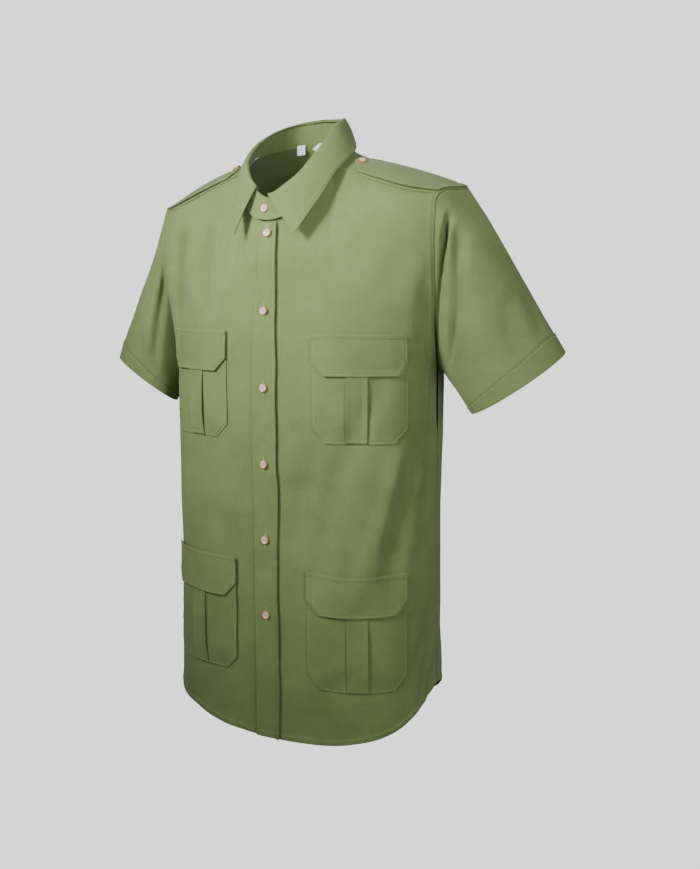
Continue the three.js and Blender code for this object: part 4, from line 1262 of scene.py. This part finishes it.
def place_button(form, name, cad_name, seat, normal, upward):
    """Copies the button to its seat, with the place in its mesh, and returns the lines of thread that sew it
    on.
    """
    normal = Vector(unit(normal))
    side = Vector(upward).cross(normal).normalized()
    up = normal.cross(side)
    turn = Matrix((side, up, normal)).transposed().to_4x4()
    here = Matrix.Translation(Vector(seat * MM)) @ turn
    copy = form.copy()
    copy.data = form.data.copy()
    copy.name = name
    bpy.context.collection.objects.link(copy)
    copy.data.transform(here)
    copy.data.materials.clear()
    copy.data.materials.append(pearl)
    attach(copy, "root")
    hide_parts(cad_name)
    lines = []
    for x in (-HOLE_PLACE, HOLE_PLACE):
        for shift in (-0.35, 0.35):
            ends = [Vector((x + shift, y, BUTTON_THICK - 0.25)) * MM for y in (-1.9, 1.9)]
            lines.append([np.array(here @ end) / MM for end in ends])
    out = np.array(normal)
    return [(undressed(np.array(line)), np.array([out, out])) for line in lines]


def undressed(points):
    """Takes off the shoulder's carry, which sew puts on again."""
    guess = points.copy()
    for _ in range(6):
        guess = guess - (dressed(guess) - points)
    return guess


def add_buttons():
    form = make_button()
    threads = []
    lift = LAYER + 0.5
    upward = (0, 0, 1)
    for i, z in enumerate(BUTTON_HEIGHTS):
        seat = dressed(on_front(np.array(0.0), np.array(float(z)), lift))
        normal = dressed(on_front(np.array(0.0), np.array(float(z)), lift + 5)) - seat
        threads += place_button(form, f"button_{i + 1}_pearl", f"button_{i + 1}", seat, normal, upward)
    seat = dressed(stand_point(np.array(-4.0), 0.5, COLLAR_LAP + 0.7))
    normal = np.array([-0.04, -1, 0.12])
    threads += place_button(form, "button_collar_pearl", "button_collar", seat, normal, upward)
    for name, side in (("left", 1), ("right", -1)):
        seat = strap_point(np.array(0.08), np.array(0.5), 0.1)
        normal = strap_point(np.array(0.08), np.array(0.5), 5.1) - seat
        seat, normal = dressed(to_side(seat, side)), to_side(normal, side)
        cad_name = f"button_epaulette_{name}"
        threads += place_button(form, f"{cad_name}_pearl", cad_name, seat, normal, (side, 0, 0.2))
    bpy.data.objects.remove(form)
    sew("button_threads", threads, sewing, length=3.4, pitch=3.8, width=0.55)


add_buttons()


# Labels
def add_label(name, tab, pointed):
    """A blank label of woven tape, hung from the neck seam; a pointed one narrows at one end."""
    across = np.linspace(-1, 1, 25)[None]
    down = np.linspace(0, 1, 15)[:, None]
    point = np.clip((across + 1) / 0.5, 0.04, 1) if pointed else 1 + 0 * across
    degrees = tab["width"] / 2 / NECK_PER_DEGREE
    turn = tab["turn"] - across * degrees + 0 * down
    wrapped = np.where(turn > 180, turn - 360, turn)
    inward = 1.9 + 0.5 * np.sin(across * 2.2) * down
    place = on_neck(NECK, wrapped) - collar_out(wrapped) * inward[..., None]
    middle = tab["drop"] + tab["length"] / 2
    height = middle + (down - 0.5) * tab["length"] * point
    points = place - vec(0, 0, height)
    label = lay_cloth(f"{name}_tape", points, 0.5, tape)
    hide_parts(name)


add_label("size_tab", SIZE_TAB, pointed=False)
add_label("neck_label", NECK_LABEL, pointed=True)


# Sewing
def body_line(face, rounds, levels):
    return line_on(partial(cloth, face), rounds, levels, lift=0.15)


def hem_lines(face):
    """Hem stitches; those of the front stop at both edges of the placket."""
    rounds = np.linspace(-0.995, 0.995, 220)
    parts = [rounds]
    if face == "front":
        parts = [rounds[rounds < round_at(-19)], rounds[rounds > round_at(17)]]
    lines = []
    for part in parts:
        levels = level_at(face, part, hem_z(face, part) + HEM_DEPTH - 1)
        lines.append(body_line(face, part, levels))
    return lines


def armhole_lines(face, away):
    levels = np.linspace(0.06, 0.995, 90)
    lines = []
    for side in (-1, 1):
        rounds = side * (1 - away / SIDE_MM) * np.ones_like(levels)
        lines.append(body_line(face, rounds, levels))
    return lines


def sew_body():
    sew("hem_stitching", hem_lines("front") + hem_lines("back"), sewing)
    armhole = []
    for away in ARMHOLE_ROWS:
        armhole += armhole_lines("front", away) + armhole_lines("back", away)
        over = line_on(on_yoke, np.full(60, 1 - away / YOKE_WIDTH), np.linspace(0.012, YOKE_CORNER, 60))
        armhole += both_sides(*over)
    sew("armhole_stitching", armhole, sewing)
    front = line_on(on_yoke, np.linspace(0.03, 0.96, 60), np.full(60, EDGE_ROW / YOKE_LENGTH))
    back = line_on(on_yoke, np.full(60, 1 - EDGE_ROW / YOKE_BACK_DEPTH), np.linspace(0.53, 1, 60))
    sew("yoke_stitching", both_sides(*front) + both_sides(*back), sewing)
    heights = np.linspace(-731, -92, 260)
    places = (-PLACKET_HALF + EDGE_ROW, PLACKET_HALF - 4)
    rows = [line_on(on_placket, np.full(260, at), heights) for at in places]
    sew("placket_stitching", rows, sewing)


def sew_sleeves():
    turns = np.linspace(0, 360, 120)
    alongs = np.full(120, CUFF_START + EDGE_ROW / SLEEVE_LENGTH)
    lines = []
    for name, sleeve in SLEEVES.items():
        line, out = line_on(partial(on_sleeve, name), alongs, turns, lift=1.1)
        lines.append((to_side(line, sleeve["side"]), to_side(out, sleeve["side"])))
    sew("cuff_stitching", lines, sewing)


def sew_collar():
    lines = []
    for side in (1, -1):
        lines.append(on_leaf(side, np.linspace(0.025, 1, 120), 1 - 4.4 / LEAF_DEPTH))
        down = np.linspace(0.56, 0.925, 50)
        profile_at = [on_leaf(side, np.array([0.024, 0.03]), d) for d in down]
        lines.append((np.array([p[0][0] for p in profile_at]), np.array([p[1][0] for p in profile_at])))
    sew("leaf_stitching", lines, sewing)
    turns = np.linspace(STAND_OVER_END - 3, -20, 40)
    over = np.full(40, COLLAR_LAP)
    rows = []
    for up in (0.1, 0.66):
        points = stand_point(turns, up, over + 0.2 + (0.6 if up < 0.2 else 0))
        rows.append((points, collar_out(turns)))
    sew("stand_stitching", rows, sewing)


def corner_line(surface, corners, count=40):
    """A sewing line that runs straight from corner to corner."""
    pieces = []
    for (d1, z1), (d2, z2) in zip(corners, corners[1:]):
        at = np.linspace(0, 1, count)
        pieces.append(line_on(surface, lerp(d1, d2, at), lerp(z1, z2, at)))
    return pieces


def sew_pockets():
    for name, pocket in POCKETS.items():
        bag, flap, pleat = partial(on_pocket, pocket), partial(on_flap, pocket), partial(on_pleat, pocket)
        near, far = pocket["inner"] + EDGE_ROW, pocket["inner"] + pocket["width"] - EDGE_ROW
        bottom, top = pocket["top"] - pocket["height"] + EDGE_ROW, pocket["top"] - FLAP_HEIGHT + 3
        cut = POCKET_CHAMFER
        middle = pleat_middle(pocket)
        half = PLEAT_WIDTH / 2
        lines = []
        for edge, way in ((near, 1), (far, -1)):
            lines += corner_line(bag, [
                (edge, top), (edge, bottom + cut), (edge + way * cut, bottom), (middle - way * half, bottom)])
        lines += corner_line(pleat, [(middle - half, bottom + 1), (middle + half, bottom + 1)])
        foot = pocket["top"] - FLAP_HEIGHT + EDGE_ROW
        near, far = near - 0.5, far + 0.5
        lines += corner_line(flap, [
            (near, pocket["top"] - 2), (near, foot + cut), (near + cut, foot), (far - cut, foot),
            (far, foot + cut), (far, pocket["top"] - 2)])
        for drop in (1.8, 7.5):
            lines += corner_line(flap, [(near, pocket["top"] - drop), (far, pocket["top"] - drop)])
        sew(f"{name}_stitching", lines, sewing)


def sew_epaulettes():
    lines = []
    edge = 0.055
    ends = [(0.97, edge), (0.025, edge), (0.022, 0.5), (0.025, 1 - edge), (0.97, 1 - edge)]
    for (l1, w1), (l2, w2) in zip(ends, ends[1:]):
        at = np.linspace(0, 1, 60)
        lines += both_sides(*line_on(strap_point, lerp(l1, l2, at), lerp(w1, w2, at)))
    sew("epaulette_stitching", lines, sewing)


def sew_buttonholes():
    """Vertical worked buttonholes, each of three close rows that show above and below its button."""
    lines = []
    for z in BUTTON_HEIGHTS:
        heights = np.linspace(z - BUTTONHOLE_HALF, z + BUTTONHOLE_HALF, 22)
        for shift in (-0.7, 0, 0.7):
            lines.append(line_on(on_placket, np.full(22, shift), heights))
    sew("buttonhole_stitching", lines, holes, length=1.4, pitch=1.0, width=0.9)


sew_body()
sew_sleeves()
sew_collar()
sew_pockets()
sew_epaulettes()
sew_buttonholes()


# Camera, floor and light
BACKDROP = "#d5d5d5"
BACKDROP_STRENGTH = 2.5
WORLD_STRENGTH = 0.34
LIGHT_COLUMNS = ("name", "place", "aim", "size", "power", "spread")
LIGHTS = (
    ("key_softbox", (-0.42, -1.2, 0.46), (0, -0.08, -0.1), 0.4, 2.9, 50),
    ("side_fill", (1.5, -1.0, 0.1), (0.1, 0, -0.25), 0.8, 3.2, 80),
    ("neck_fill", (1.03, -1.82, 0.02), (0, 0, -0.01), 0.2, 0.1, 14),
)


def add_camera():
    azimuth, pitch = math.radians(CAMERA_AZIMUTH), math.radians(CAMERA_PITCH)
    right = Vector((math.cos(azimuth), math.sin(azimuth), 0))
    ahead = Vector((-math.sin(azimuth), math.cos(azimuth), 0))
    place = right * CAMERA_ASIDE - ahead * CAMERA_DISTANCE + Vector((0, 0, CAMERA_HEIGHT))
    bpy.ops.object.camera_add(location=place)
    camera = bpy.context.object
    look = ahead * math.cos(pitch) - Vector((0, 0, math.sin(pitch)))
    camera.rotation_mode = "QUATERNION"
    camera.rotation_quaternion = look.to_track_quat("-Z", "Y")
    camera.data.sensor_width = 36
    camera.data.lens = LENS
    bpy.context.scene.camera = camera


def add_light(name, place, aim, size, power, spread):
    bpy.ops.object.light_add(type="AREA", location=place)
    light = bpy.context.object
    light.name = name
    light.rotation_mode = "QUATERNION"
    light.rotation_quaternion = (Vector(aim) - Vector(place)).to_track_quat("-Z", "Y")
    light.data.size = size
    light.data.energy = power
    light.data.spread = math.radians(spread)


def add_floor():
    """Seen as even as the backdrop, with no horizon; it lights the shirt as pale paper would."""
    deselect()
    bpy.ops.mesh.primitive_plane_add(size=60, location=(0, 0, FLOOR_Z))
    floor = bpy.context.object
    floor.name = "studio_floor"
    material, tree, shader = new_material("matt pale floor")
    shader.inputs["Base Color"].default_value = linear(BACKDROP)
    shader.inputs["Roughness"].default_value = 0.95
    seen = node(tree, "ShaderNodeLightPath").outputs["Is Camera Ray"]
    even = node(tree, "ShaderNodeEmission", {}, {"Color": linear(BACKDROP), "Strength": BACKDROP_STRENGTH})
    both = node(tree, "ShaderNodeMixShader", {}, {}, {0: seen, 1: shader.outputs[0], 2: even.outputs[0]})
    tree.links.new(both.outputs[0], tree.nodes["Material Output"].inputs["Surface"])
    floor.data.materials.append(material)


def add_world():
    """A pale even backdrop that lights the shirt far less than it shows."""
    world = bpy.data.worlds.new("pale studio")
    bpy.context.scene.world = world
    world.use_nodes = True
    tree = world.node_tree
    back = tree.nodes["Background"]
    back.inputs["Color"].default_value = linear(BACKDROP)
    seen = node(tree, "ShaderNodeLightPath").outputs["Is Camera Ray"]
    strength = ranged(tree, seen, start=WORLD_STRENGTH, end=BACKDROP_STRENGTH)
    tree.links.new(strength, back.inputs["Strength"])


deselect()
add_camera()
add_floor()
add_world()
for row in LIGHTS:
    add_light(**dict(zip(LIGHT_COLUMNS, row)))
